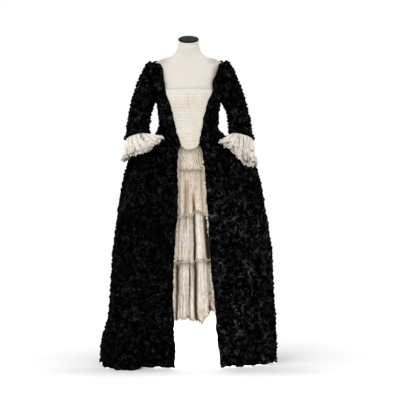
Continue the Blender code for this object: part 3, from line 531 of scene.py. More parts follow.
def tufts(points, size, seed=0):
    """Rounded tufts at random places: 1 at the middle of each and 0 between them."""
    place = points / size
    cell = np.floor(place).astype(np.int64)
    nearest = np.full(points.shape[:-1], 9.0)
    second = nearest.copy()
    for corner in np.ndindex(3, 3, 3):
        neighbour = cell + np.array(corner) - 1
        centre = np.stack([hashed(neighbour, seed + axis) for axis in range(3)], -1) + neighbour
        apart = length_of(place - centre)
        second = np.minimum(second, np.maximum(nearest, apart))
        nearest = np.minimum(nearest, apart)
    dome = np.clip(1 - (nearest / 0.95) ** 2, 0, 1) ** 0.8
    return dome * ease((second - nearest) / 0.45)


class Hull:
    """Rounded sections round the standing axis, which a layer of cloth follows."""

    def __init__(self, rows):
        self.curves = curves_of(rows)

    def axes(self, angle, z):
        """The half-width and the depth of the quarter section that an angle lies in."""
        turn = np.radians(angle)
        width = np.where(np.sin(turn) > 0, self.curves["left"](z), self.curves["right"](z))
        depth = np.where(np.cos(turn) > 0, self.curves["front"](z), self.curves["back"](z))
        return width, depth

    def point(self, angle, z, out=0.0):
        """The points at angles and heights, moved out from the section by a distance."""
        turn = np.radians(angle)
        width, depth = self.axes(angle, z)
        across, along = np.sin(turn), -np.cos(turn)
        away = np.hypot(across / width, along / depth)
        x = width * across + across / width / away * out
        y = depth * along + along / depth / away * out
        return np.stack(np.broadcast_arrays(x, y, z), -1)

    def angle_at(self, x, z):
        """The angle on the front half where the section reaches x."""
        x = np.asarray(x, float)
        width = np.where(x > 0, self.curves["left"](z), self.curves["right"](z))
        return np.degrees(np.arcsin(np.clip(x / width, -1.0, 1.0)))


ROBE = Hull(ROBE_SECTIONS)
PETTICOAT = Hull(PETTICOAT_SECTIONS)
FORM = Hull(FORM_SECTIONS)
OPENING = curves_of(ROBE_OPENING)
OPENING_TRIM = curves_of(OPENING_TRIMS)
SACK_BACK = curves_of(SACK_FALL)["back"]


def fold_height(folds, angle, z, hem_z=0.0):
    """The sum of the soft folds at an angle, each growing from its top height to the hem."""
    total = 0.0
    for fold in folds:
        grown = ease((fold.top_z - z) / (fold.top_z - hem_z))
        total = total + fold.height * grown * peak(angle - fold.angle, fold.width)
    return total


def pleat_height(angle, z):
    """The flat-topped box pleats of the sack, with soft edges."""
    fallen = ease((SHOULDER_NECK_Z - z) / SHOULDER_NECK_Z)
    total = 0.0
    for pleat in SACK_PLEATS:
        half = pleat.half_width_top + (pleat.half_width_hem - pleat.half_width_top) * fallen
        height = pleat.height_top + (pleat.height_hem - pleat.height_top) * fallen
        apart = np.abs(angle - pleat.angle) / half
        total = total + height * (1 - ease((apart - 0.62) / 0.76))
    return total


def robe_spread(angle, z):
    """How far the robe's right side spreads forwards near the floor."""
    dropped = ease((SPREAD_TOP_Z - z) / SPREAD_TOP_Z) ** 1.5
    reach = SPREAD_REACH + 0.055 * ease((-angle - 40) / 14)
    spread = reach * dropped * ease((-angle - 31) / 8) * (1 - ease((-angle - 56) / 48))
    return np.where((angle > -104) & (angle < 0), spread, 0.0)


def robe_surface(angle, z):
    """The outer face of the robe's bodice and skirt."""
    out = np.where(z < WAIST_SEAM_Z, fold_height(ROBE_FOLDS, angle, z), 0.0)
    place = ROBE.point(angle, z, out)
    spread = robe_spread(angle, z)
    place[..., 0] += 0.08 * spread
    place[..., 1] -= spread
    return place


def robe_half(side, angle, z):
    """The robe's outer face on one side, with its columns in the order that faces outwards."""
    if side < 0:
        return robe_surface(-angle[:, ::-1], z[:, ::-1])
    return robe_surface(angle, z)


def sack_half_angle(z):
    """Half of the sack's width round the back: narrow at the neck, full at the hips."""
    opened = ease((SHOULDER_NECK_Z - z) / (SHOULDER_NECK_Z - WAIST_SEAM_Z))
    return 40.0 + (180.0 - SACK_SEAM_ANGLE - 40.0) * opened


def sack_surface(angle, z):
    """The outer face of the pleated back, which joins the side panels below the waist."""
    away = np.abs(angle - 180.0)
    seam = 180.0 - SACK_SEAM_ANGLE
    fallen = np.where(z > SACK_FALL[0].z, np.maximum(0.0, SACK_BACK(z) - ROBE.curves["back"](z)), 0.0)
    out = fallen * (1 - ease((away - 20.0) / (sack_half_angle(z) - 18.0)))
    out = out + SACK_LIFT * ease((z - 1.0) / 0.07)
    out = out + pleat_height(angle, z)
    out = out + fold_height(SACK_FOLDS, angle, z) * ease((seam - away) / 6.0)
    near = np.where(angle < 180, angle, angle - 360)
    out = out + np.where(z < WAIST_SEAM_Z, fold_height(ROBE_FOLDS, near, z), 0.0)
    return ROBE.point(angle, z, out)


def crease_sum(angle, z, column, width_scale=1.0):
    """A column of the table of creases, summed at an angle and a height."""
    total = 0.0
    for index, crease in enumerate(CREASES):
        middle = crease.angle - crease.drift * (z - CREASE_MIDDLE_Z)
        middle = middle + 0.45 * line_noise(z + angle * 0, 0.07, 90 + index)
        middle = middle + 0.20 * line_noise(z + angle * 0, 0.0085, 190 + index)
        grown = ease((crease.top_z - z) / (crease.top_z - crease.full_z)) * ease((z - crease.low_z) / 0.03)
        total = total + getattr(crease, column) * grown * peak(angle - middle, crease.width * width_scale)
    return total


def petticoat_out(angle, z):
    """How far the petticoat's folds stand out from its sections."""
    out = fold_height(PETTICOAT_FOLDS, angle, z, PETTICOAT_HEM_Z) - crease_sum(angle, z, "depth")
    away = ease((np.abs(angle) - 55.0) / 20.0)
    grown = ease((0.95 - z) / (0.95 - PETTICOAT_HEM_Z))
    return out + FAR_FOLD_HEIGHT * away * grown * np.cos(np.radians(360.0 / FAR_FOLD_SPACING * angle))


def flounce_out(flounce, angle, z):
    """How far a flounce stands out from the petticoat's sections."""
    fallen = (flounce.top_z - z) / (flounce.top_z - flounce.hem_z)
    span = FLOUNCE_LAST_ANGLE - FLOUNCE_FIRST_ANGLE
    wave = np.cos(math.tau * flounce.waves * (angle - FLOUNCE_FIRST_ANGLE) / span)
    lift = flounce.lift_top + (flounce.lift_hem - flounce.lift_top) * fallen
    lift = lift + flounce.wave_height * (wave + 1) * ease(fallen)
    return fold_height(PETTICOAT_FOLDS, angle, z, PETTICOAT_HEM_Z) - crease_sum(angle, z, "depth") + lift


def angle_for(angle, z, distance):
    """How many degrees a distance along the robe takes at a place."""
    return distance / length_of(robe_surface(angle + 0.5, z) - robe_surface(angle - 0.5, z))


def grid_directions(grid, closed=False):
    """The outward directions at the points of a grid, worked out from their neighbours."""
    if closed:
        across = np.roll(grid, -1, 1) - np.roll(grid, 1, 1)
    else:
        across = np.gradient(grid, axis=1)
    up = -np.gradient(grid, axis=0)
    return unit(np.cross(across, up))


def smooth_rows(grid, count):
    """More rows between those of a grid, on a smooth curve through them."""
    rows = len(grid)
    padded = np.concatenate([2 * grid[:1] - grid[1:2], grid, 2 * grid[-1:] - grid[-2:-1]])
    place = np.linspace(0, rows - 1, count)
    i = np.clip(np.floor(place).astype(int), 0, rows - 2)
    t = (place - i).reshape(-1, *([1] * (grid.ndim - 1)))
    a, b, c, d = (padded[i + k] for k in range(4))
    curve = 2 * b + (c - a) * t + (2 * a - 5 * b + 4 * c - d) * t**2 + (3 * b - a - 3 * c + d) * t**3
    return curve / 2


def softened(ring, width):
    """A closed ring of points averaged over a width, counted in points."""
    count = len(ring)
    apart = np.minimum(np.arange(count), count - np.arange(count))
    weights = np.exp(-0.5 * (apart / width) ** 2)
    weights /= weights.sum()
    mixed = np.fft.ifft(np.fft.fft(ring, axis=0) * np.fft.fft(weights)[:, None], axis=0)
    return mixed.real


def areas(grid, closed=False):
    """The sum of a grid's faces, in square metres."""
    ahead = np.roll(grid, -1, 1) if closed else grid[:, 1:]
    here = grid if closed else grid[:, :-1]
    across, down = (ahead - here)[:-1], (here[1:] - here[:-1])
    return float(length_of(np.cross(across, down)).sum())


def cut_of(grid, closed=False):
    """The flat width, length and area of the cloth that hangs on a smooth grid."""
    row = np.diff(np.concatenate([grid, grid[:, :1]], 1) if closed else grid, axis=1)
    width = float(length_of(row).sum(1).max())
    length = float(length_of(np.diff(grid, axis=0)).sum(0).max())
    area = min(max(areas(grid, closed), LEAST_AREA_SHARE * width * length), width * length)
    return (round(width, 4), round(length, 4)), round(area, 5)


def add_mesh(name, points, quads, triangles, materials, slots=None, uvs=None, tone=None):
    """Adds one smooth object from arrays of points and faces."""
    mesh = bpy.data.meshes.new(name)
    corners = np.concatenate([quads.ravel(), triangles.ravel()]).astype(np.int32)
    totals = np.concatenate([np.full(len(quads), 4), np.full(len(triangles), 3)]).astype(np.int32)
    starts = np.concatenate([[0], np.cumsum(totals)[:-1]]).astype(np.int32)
    mesh.vertices.add(len(points))
    mesh.vertices.foreach_set("co", points.astype(np.float32).ravel())
    mesh.loops.add(len(corners))
    mesh.loops.foreach_set("vertex_index", corners)
    mesh.polygons.add(len(totals))
    mesh.polygons.foreach_set("loop_start", starts)
    mesh.polygons.foreach_set("loop_total", totals)
    mesh.polygons.foreach_set("use_smooth", np.ones(len(totals), bool))
    if slots is not None:
        mesh.polygons.foreach_set("material_index", slots.astype(np.int32))
    if uvs is not None:
        layer = mesh.uv_layers.new(name="UVMap")
        layer.data.foreach_set("uv", uvs[corners].astype(np.float32).ravel())
    if tone is not None:
        layer = mesh.attributes.new("tone", "FLOAT", "POINT")
        layer.data.foreach_set("value", tone.astype(np.float32))
    for material in materials:
        mesh.materials.append(material)
    mesh.update(calc_edges=True)
    mesh.validate()
    item = bpy.data.objects.new(name, mesh)
    bpy.context.scene.collection.objects.link(item)
    return item


def wall(name, outer, inner, uvs, tone, materials, closed=False):
    """A closed wall of cloth: its outer grid, its inner grid at half the detail, and its edges."""
    rows, columns = outer.shape[:2]
    low_rows, low_columns = inner.shape[:2]
    face = np.arange(rows * columns).reshape(rows, columns)
    back = rows * columns + np.arange(low_rows * low_columns).reshape(low_rows, low_columns)
    if closed:
        face = np.concatenate([face, face[:, :1]], 1)
        back = np.concatenate([back, back[:, :1]], 1)
    front = np.stack([face[:-1, :-1], face[1:, :-1], face[1:, 1:], face[:-1, 1:]], -1).reshape(-1, 4)
    behind = np.stack([back[:-1, :-1], back[:-1, 1:], back[1:, 1:], back[1:, :-1]], -1).reshape(-1, 4)
    edges = [(face[0], back[0]), (face[-1, ::-1], back[-1, ::-1])]
    if not closed:
        edges += [(face[::-1, 0], back[::-1, 0]), (face[:, -1], back[:, -1])]
    rim = []
    for long, short in edges:
        first, middle, last = long[:-2:2], long[1:-1:2], long[2::2]
        rim.append(np.stack([first, middle, short[:-1]], -1))
        rim.append(np.stack([middle, last, short[1:]], -1))
        rim.append(np.stack([middle, short[1:], short[:-1]], -1))
    rim = np.concatenate(rim)
    points = np.concatenate([outer.reshape(-1, 3), inner.reshape(-1, 3)])
    slots = np.concatenate([np.zeros(len(front)), np.ones(len(behind)), np.zeros(len(rim))])
    low = (slice(None, None, 2), slice(None, None, 2))
    all_uvs = np.concatenate([uvs.reshape(-1, 2), uvs[low].reshape(-1, 2)])
    all_tone = np.concatenate([tone.ravel(), tone[low].ravel()])
    return add_mesh(name, points, np.concatenate([front, behind]), rim, materials, slots, all_uvs, all_tone)


def cloth(name, grid, out, thickness, materials, tone, closed=False, inner=None):
    """A wall of cloth on a smooth grid, with its outer face raised by out."""
    directions = grid_directions(grid, closed)
    outer = grid + directions * out[..., None]
    if inner is None:
        inner = grid - directions * thickness
    outer[..., 2] = np.maximum(outer[..., 2], FLOOR_GAP)
    inner[..., 2] = np.maximum(inner[..., 2], FLOOR_GAP)
    uvs = np.stack([lengths_along(grid, 1), -lengths_along(grid, 0)], -1)
    return wall(name, outer, inner[::2, ::2], uvs, tone, materials, closed)


def lengths_along(grid, axis):
    """The distance from the first point to each point of a grid, along its rows or its columns."""
    steps = length_of(np.diff(grid, axis=axis))
    steps = np.concatenate([np.zeros_like(np.take(steps, [0], axis)), steps], axis)
    return np.cumsum(steps, axis)


def finish_piece(piece, node):
    """Rides one piece of cloth on the root body and hides the solid that it replaces."""
    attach(piece, "root")
    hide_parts(node)


class Look:
    """A material under way, with short ways to add its nodes."""

    def __init__(self, name, colour, roughness, **settings):
        self.material = bpy.data.materials.new(name)
        self.material.use_nodes = True
        self.tree = self.material.node_tree
        self.shader = self.tree.nodes["Principled BSDF"]
        self.set("Base Color", (*colour, 1.0))
        self.set("Roughness", roughness)
        for socket, value in settings.items():
            self.set(socket.replace("_", " "), value)
        self.material.diffuse_color = (*colour, 1.0)

    def set(self, socket, value):
        """Sets a socket of the shader to a value or links it to an output."""
        self.fill(self.shader.inputs[socket], value)

    def fill(self, socket, value):
        """Sets a socket to a value or links it to an output."""
        if isinstance(value, bpy.types.NodeSocket):
            self.tree.links.new(value, socket)
        else:
            socket.default_value = value

    def add(self, kind, output, inputs, **settings):
        """Adds a node and gives back one of its outputs."""
        node = self.tree.nodes.new("ShaderNode" + kind)
        for key, value in settings.items():
            setattr(node, key, value)
        for key, value in inputs.items():
            self.fill(node.inputs[key], value)
        return node.outputs[output]

    def place(self, scale=(1.0, 1.0, 1.0)):
        """Places on the object, stretched by a scale."""
        source = self.add("TexCoord", "Object", {})
        return self.add("Mapping", "Vector", {"Vector": source, "Scale": scale})

    def axis(self, name):
        """How far each place is along one of the object's axes."""
        return self.add("SeparateXYZ", name, {0: self.place()})

    def noise(self, scale, detail=2.0, vector=None, output="Fac", roughness=0.5):
        """A noise texture."""
        inputs = {"Scale": scale, "Detail": detail, "Roughness": roughness}
        inputs["Vector"] = vector or self.place()
        return self.add("TexNoise", output, inputs)

    def cells(self, scale, vector):
        """A cell texture."""
        return self.add("TexVoronoi", "Distance", {"Scale": scale, "Vector": vector})

    def math(self, operation, a, b=0.0):
        """One sum of two values."""
        return self.add("Math", 0, {0: a, 1: b}, operation=operation)

    def times(self, *values):
        """Several values multiplied."""
        total = values[0]
        for value in values[1:]:
            total = self.math("MULTIPLY", total, value)
        return total

    def lines(self, noise, low, high):
        """Curled lines where a noise passes its middle value."""
        away = self.math("ABSOLUTE", self.math("SUBTRACT", noise, 0.5))
        return self.span(away, low, high, 1.0, 0.0)

    def span(self, value, low, high, first=0.0, last=1.0):
        """A value mapped from one range to another, and held within it."""
        inputs = {"Value": value, "From Min": low, "From Max": high, "To Min": first, "To Max": last}
        return self.add("MapRange", "Result", inputs)

    def soft(self, value, low, high):
        """Rises smoothly from 0 at one value to 1 at another."""
        inputs = {"Value": value, "From Min": low, "From Max": high}
        return self.add("MapRange", "Result", inputs, interpolation_type="SMOOTHSTEP")

    def mix(self, share, a, b):
        """Two colours mixed."""
        inputs = {0: share}
        inputs[6] = a if isinstance(a, bpy.types.NodeSocket) else (*a, 1.0)
        inputs[7] = b if isinstance(b, bpy.types.NodeSocket) else (*b, 1.0)
        return self.add("Mix", 2, inputs, data_type="RGBA")

    def tone(self):
        """The shade that the mesh stores at each point."""
        return self.add("Attribute", "Fac", {}, attribute_name="tone")

    def bump(self, height, distance, strength=1.0, under=None):
        """Raises the surface by a height, on top of what lies under it."""
        inputs = {"Height": height, "Distance": distance, "Strength": strength}
        if under is not None:
            inputs["Normal"] = under
        return self.add("Bump", "Normal", inputs)


def robe_look():
    """Black tufted cloth, with painted highlights in loose pale curls and grey clumps where the tufts catch
    the light.
    """
    look = Look("black_tufted_cloth", (0.002, 0.002, 0.002), 0.85, Specular_IOR_Level=0.006)
    colours = look.noise(34.0, 2.0, output="Color")
    shift = look.add("VectorMath", "Vector", {0: colours, 1: (0.034, 0.034, 0.034)}, operation="MULTIPLY")
    bent = look.add("VectorMath", "Vector", {0: look.place(), 1: shift}, operation="ADD")
    curl_places = look.span(look.noise(30.0, 1.0), 0.53, 0.68)
    curl = look.times(look.lines(look.noise(36.0, 1.0, bent), 0.006, 0.045), curl_places)
    wisp_places = look.span(look.noise(48.0, 1.0), 0.53, 0.66)
    wisp = look.times(look.lines(look.noise(62.0, 1.0, bent), 0.006, 0.036), wisp_places)
    height = look.axis("Z")
    # Painted light: brighter towards the wearer's left, kept bright on the bodice and sleeves, a little
    # dimmer towards the top, in broad uneven patches.
    leftward = look.span(look.axis("X"), -0.12, 0.14, 0.5, 1.0)
    side = look.math("MAXIMUM", leftward, look.span(height, 0.95, 1.15, 0.0, 0.9))
    curl_highlight = look.math("MAXIMUM", look.times(curl, side), wisp)
    uneven = look.span(look.noise(7.0, 1.0), 0.35, 0.65, 0.5, 1.0)
    lit = look.times(side, look.span(height, 0.2, 1.1, 1.0, 0.8), uneven)
    # Grey clumps painted where the tufts catch the light, stronger where the painted light is.
    clump = look.span(look.noise(46.0, 3.0, bent), 0.48, 0.74)
    shade = look.mix(look.times(clump, lit), (0.0001, 0.0001, 0.0001), (0.0140, 0.0140, 0.0145))
    # The pale colour of the curls is a painted highlight.
    pale = look.mix(look.noise(4.0, 1.0), (0.074, 0.075, 0.078), (0.090, 0.088, 0.083))
    look.set("Base Color", look.mix(look.times(curl_highlight, lit), shade, pale))
    look.set("Roughness", look.span(look.noise(120.0, 2.0), 0.2, 0.8, 0.62, 0.95))
    fibre = look.bump(look.noise(260.0, 4.0, bent), 0.0016, 0.9)
    look.set("Normal", look.bump(look.cells(170.0, bent), 0.0016, 0.6, fibre))
    return look.material


def lining_look():
    """Plain white lining with a fine even weave."""
    look = Look("white_lining", (0.92, 0.91, 0.89), 0.85, Specular_IOR_Level=0.2)
    thread = look.add("TexWave", "Fac", {"Scale": 420.0, "Distortion": 1.5, "Vector": look.place()},
                      bands_direction="Z")
    look.set("Base Color", look.mix(look.noise(6.0), (0.88, 0.87, 0.85), (0.95, 0.945, 0.93)))
    look.set("Normal", look.bump(thread, 0.0004, 0.3))
    return look.material


def pale_look(name, light, dark, stain, streak=(120.0, 120.0, 9.0), depth=0.0012, speckle=0.0):
    """Cream cloth with fine streaks down it, darkened towards its stain and shade colour where the mesh's
    tone says so: that tone holds stains and also painted shade in folds, creases and hollows.
    """
    look = Look(name, light, 0.85, Specular_IOR_Level=0.2)
    streaks = look.noise(1.0, 3.0, look.place(streak), roughness=0.65)
    cloudy = look.mix(look.span(look.noise(9.0, 3.0), 0.3, 0.7), light, dark)
    streaky = look.mix(look.span(streaks, 0.44, 0.64, 0.0, 0.8), cloudy, dark)
    if speckle:
        specks = look.span(look.noise(1.0, 2.0, look.place((200.0, 200.0, 42.0))), 0.53, 0.70, 0.0, speckle)
        streaky = look.mix(specks, streaky, stain)
    look.set("Base Color", look.mix(look.tone(), streaky, stain))
    look.set("Roughness", look.span(look.noise(90.0), 0.2, 0.8, 0.75, 0.95))
    crepe = look.bump(streaks, depth, 0.8)
    look.set("Normal", look.bump(look.noise(520.0, 2.0), 0.0007, 0.6, crepe))
    return look.material


def form_look():
    """Off-white jersey stretched over the form, greyer where painted shade falls beside the robe's front
    edges and over the tops of the shoulders.
    """
    look = Look("form_jersey", (0.67, 0.63, 0.58), 0.85, Specular_IOR_Level=0.12)
    cover = look.mix(look.noise(7.0, 3.0), (0.62, 0.575, 0.515), (0.66, 0.62, 0.56))
    across = look.axis("X")
    height = look.axis("Z")
    # Painted shade beside the robe's front edges on both sides and over the shoulder tops.
    left = look.times(look.soft(across, 0.098, 0.136), look.soft(height, 1.395, 1.34))
    left = look.times(left, look.soft(height, 1.22, 1.27))
    right = look.times(look.soft(across, -0.108, -0.140), 0.45)
    outward = look.soft(look.math("ABSOLUTE", across), 0.070, 0.125)
    top = look.times(look.soft(height, 1.365, 1.395), outward, 0.5)
    wear_and_shade = look.math("MAXIMUM", look.math("MAXIMUM", left, right), top)
    look.set("Base Color", look.mix(look.times(wear_and_shade, 0.85), cover, (0.17, 0.155, 0.135)))
    weave = look.bump(look.noise(900.0, 1.0), 0.0003, 0.4)
    look.set("Normal", look.bump(look.noise(26.0, 3.0, look.place((0.5, 0.5, 2.0))), 0.0016, 0.35, weave))
    look.set("Roughness", look.span(look.noise(60.0), 0.2, 0.8, 0.7, 0.9))
    return look.material


def cap_look():
    """Dark satin plastic, a little dusty."""
    look = Look("cap_plastic", (0.02, 0.023, 0.023), 0.5, Specular_IOR_Level=0.05)
    look.set("Base Color", look.mix(look.noise(55.0, 3.0), (0.003, 0.0035, 0.0035), (0.016, 0.017, 0.017)))
    look.set("Roughness", look.span(look.noise(140.0, 3.0), 0.2, 0.8, 0.42, 0.65))
    look.set("Normal", look.bump(look.noise(300.0, 2.0), 0.0003, 0.3))
    return look.material


def paint_look(name, colour, roughness):
    """Smooth white paint on metal, with faint wear."""
    look = Look(name, colour, roughness)
    # A slightly darker colour for the paint's faint wear.
    wear_and_shade = tuple(value * 0.93 for value in colour)
    look.set("Base Color", look.mix(look.noise(14.0, 4.0), wear_and_shade, colour))
    look.set("Roughness", look.span(look.noise(70.0, 3.0), 0.2, 0.8, roughness * 0.8, roughness * 1.3))
    look.set("Normal", look.bump(look.noise(160.0, 2.0), 0.0003, 0.3))
    return look.material


def robe_relief(grid, edge=None, band=1.0):
    """The height of the black cloth's curled tufts, and how near each point is to a crest."""
    bent = grid + 0.0050 * np.stack([noise(grid, 0.014, k) for k in (21, 22, 23)], -1)
    lumps = tufts(bent, TUFT_SIZE, 3)
    curl = ease(1 - np.abs(noise(bent, CURL_SIZE, 4)) / 0.45)
    uneven = 0.85 + 0.4 * noise(grid, 0.045, 5)
    height = (TUFT_HEIGHT * lumps + CURL_HEIGHT * curl * (0.35 + 0.65 * lumps)) * uneven
    tone = curl * (0.35 + 0.65 * lumps)
    if edge is not None:
        smoother = (1 - ease((edge - FRONT_BAND * 0.85) / (FRONT_BAND * 0.3))) * band
        rib = 0.0012 * (1 + np.sin(edge * math.tau / 0.0095 + 0.8 * noise(grid, 0.05, 6)))
        height = height * (1 - 0.45 * smoother) + rib * smoother
        tone = tone * (1 - 0.45 * smoother)
    return height, tone


def edge_jitter(z, seed):
    """How far an uneven edge wanders at each height."""
    return 0.0026 * line_noise(z, 0.0125, seed) + 0.0018 * line_noise(z, 0.034, seed + 1)


def opening_angle(side, z):
    """How far round from the front the robe's edge stands on one side."""
    column = "left" if side > 0 else "right"
    trim = OPENING_TRIM[column](np.clip(z, 0.0, OPENING_TRIMS[-1].z))
    return side * ROBE.angle_at(side * (OPENING[column](z) - trim), z)


def edge_distance(grid, side):
    """The distance of each point from the front edge, along the cloth."""
    along = lengths_along(grid, 1)
    return along if side > 0 else along[:, -1:] - along


def bodice_rows(count):
    """Each row's height at the arm, its share of the way down, and how wide the armhole is there."""
    arm = int(count * 0.6)
    turn = np.radians(np.linspace(0.0, 180.0, arm))
    middle = (ARM_TOP_Z + ARM_BOTTOM_Z) / 2
    upper = middle + (ARM_TOP_Z - ARM_BOTTOM_Z) / 2 * np.cos(turn)
    lower = np.linspace(ARM_BOTTOM_Z, WAIST_SEAM_Z, count - arm + 1)[1:]
    z = np.concatenate([upper, lower])
    width = np.concatenate([np.sin(turn), lower * 0])
    return z, (ARM_TOP_Z - z) / (ARM_TOP_Z - WAIST_SEAM_Z), width


def bodice_front_grid(side):
    """Down one front, from the shoulder seam to the waist, out from the front edge to the side."""
    rows, columns = BODICE_FRONT_GRID
    outer_z, share, width = (value[:, None] for value in bodice_rows(rows))
    inner_z = STRAP_TOP_Z + (WAIST_SEAM_Z - STRAP_TOP_Z) * share
    shoulder = ease(1 - share / 0.07)
    edge = opening_angle(side, np.minimum(inner_z, ROBE_OPENING[-1].z))
    edge = edge + (90 - edge) * shoulder
    outer = 90 - np.maximum(ARM_FRONT_ANGLE * width, angle_for(90.0, outer_z, SEAM / 2))
    u = np.linspace(0, 1, columns)[None, :]
    z = inner_z + (outer_z - inner_z) * u
    jitter = angle_for(side * 50.0, inner_z, edge_jitter(inner_z, 31 + side)) * (1 - shoulder)
    angle = np.minimum(outer, edge + (outer - edge) * u + jitter * (1 - ease(u / 0.3)))
    return robe_half(side, angle, z)


def bodice_back_grid():
    """Down the fitted back between the side seams, with a strap up to each shoulder seam."""
    rows, columns = BODICE_BACK_GRID
    arm_z, share, width = (value[:, None] for value in bodice_rows(rows))
    neck_z = STRAP_TOP_Z + (WAIST_SEAM_Z - STRAP_TOP_Z) * share
    arm = np.maximum(ARM_BACK_ANGLE * width, angle_for(90.0, arm_z, SEAM / 2))
    strap = 2.0 / 7.0
    neck = arm + (90.0 - arm) * strap * ease(share / 0.35)
    v = np.linspace(0, 1, columns)[None, :]
    half = np.minimum(v, 1 - v) * 2
    out = np.clip(half / strap, 0, 1)
    within = np.clip((half - strap) / (1 - strap), 0, 1)
    away = arm + (neck - arm) * out + (90 - neck) * within
    z = arm_z + (neck_z - arm_z) * out
    return robe_surface(np.where(v <= 0.5, 90 + away, 270 - away), z)


def skirt_heights(count, top_z, floor_z=SKIRT_FLOOR_Z):
    """Heights from the waist to the hem, closer together over the hips and at the floor."""
    t = np.linspace(0, 1, count)
    fall = 0.42 * t + 0.58 * ease(t) - 0.06 * np.sin(math.pi * t) * (1 - t)
    return top_z + (floor_z - top_z) * fall


def skirt_grid(side, first, last, shape, jitter=None):
    """One skirt panel between two angles, each given at every height."""
    rows, columns = shape
    z = skirt_heights(rows, WAIST_SEAM_Z - SEAM)[:, None]
    u = np.linspace(0, 1, columns)[None, :]
    start, end = first(z), last(z)
    angle = start + (end - start) * u
    if jitter is not None:
        wander = angle_for(side * 20.0, z, edge_jitter(z, jitter))
        angle = angle + wander * (1 - ease(u / 0.3)) * ease((WAIST_SEAM_Z - z) / 0.02)
    z = z + hem_bumps(angle, z, side)
    return robe_half(side, angle, z)


def hem_bumps(angle, z, side):
    """How far the tufts along the robe's hem lift its edge."""
    bump = 0.0050 * line_noise(angle, 2.6, 60 + side) + 0.0030 * line_noise(angle, 0.9, 62 + side)
    bump = np.maximum(bump + (0.0024 if side > 0 else 0.0004), 0.0)
    return bump * ease((0.05 - z) / 0.05)


def sack_grid():
    """Down the pleated back, from the neck to the train's hem."""
    rows, columns = SACK_GRID
    upper = int(rows * 0.24)
    top = np.linspace(SACK_TOP_Z, WAIST_SEAM_Z - SEAM, upper + 1)[:-1]
    z = np.concatenate([top, skirt_heights(rows - upper, WAIST_SEAM_Z - SEAM, FLOOR_GAP)])[:, None]
    half = sack_half_angle(z) - angle_for(SACK_SEAM_ANGLE, z, SEAM / 2)
    angle = 180 + half * np.linspace(-1, 1, columns)[None, :]
    return sack_surface(angle, z + 0 * angle)


def sleeve_points(side, sections, turn):
    """The points round some sections of a sleeve. The turn goes from outside, through the front."""
    rows = {name: np.array([getattr(s, name) for s in sections])[:, None] for name in sections[0]._fields}
    x = (rows["outer_x"] + rows["inner_x"]) / 2 + (rows["outer_x"] - rows["inner_x"]) / 2 * np.cos(turn)
    z = (rows["outer_z"] + rows["inner_z"]) / 2 + (rows["outer_z"] - rows["inner_z"]) / 2 * np.cos(turn)
    y = rows["mid_y"] - rows["half_depth"] * np.sin(turn)
    z = z + rows["front_rise"] * np.sin(turn)
    fallen = ease((1.20 - z) / 0.15)
    return np.stack([side * (x + SLEEVE_SWING[side] * fallen), y, z], -1)


def armhole_points(side, turn):
    """The sleeve's seam, just inside the edge that the bodice leaves."""
    middle = (ARM_TOP_Z + ARM_BOTTOM_Z) / 2
    z = middle + ((ARM_TOP_Z - ARM_BOTTOM_Z) / 2 - SEAM) * np.cos(turn)
    reach = np.where(np.sin(turn) > 0, ARM_FRONT_ANGLE, ARM_BACK_ANGLE)
    away = (reach - angle_for(90.0, z, SEAM)) * np.sin(turn)
    return robe_surface(side * (90 - away), z)


def facing_out(grid, side):
    """Rings in the order that faces outwards, which is the other way round on the left side."""
    return grid if side < 0 else np.concatenate([grid[:, :1], grid[:, :0:-1]], 1)


def sleeve_grid(side):
    """Rings down a sleeve, from the armhole to the flared cuff."""
    rows, columns = SLEEVE_GRID
    turn = np.linspace(0, math.tau, columns + 1)[:-1]
    rings = np.concatenate([armhole_points(side, turn)[None], sleeve_points(side, SLEEVE_SECTIONS, turn)])
    return facing_out(smooth_rows(rings, rows), side)


def seam_line(angle, past):
    """A line down the robe that lies a distance past an angle at every height."""
    return lambda z: angle + angle_for(angle, z, past)


def robe_piece(node, grid, relief, looks, closed=False):
    """One finished piece of the robe, which replaces the solid of the same name."""
    out, tone = relief
    piece = cloth(f"robe_{node}", grid, out, ROBE_CLOTH, looks, tone, closed)
    finish_piece(piece, node)


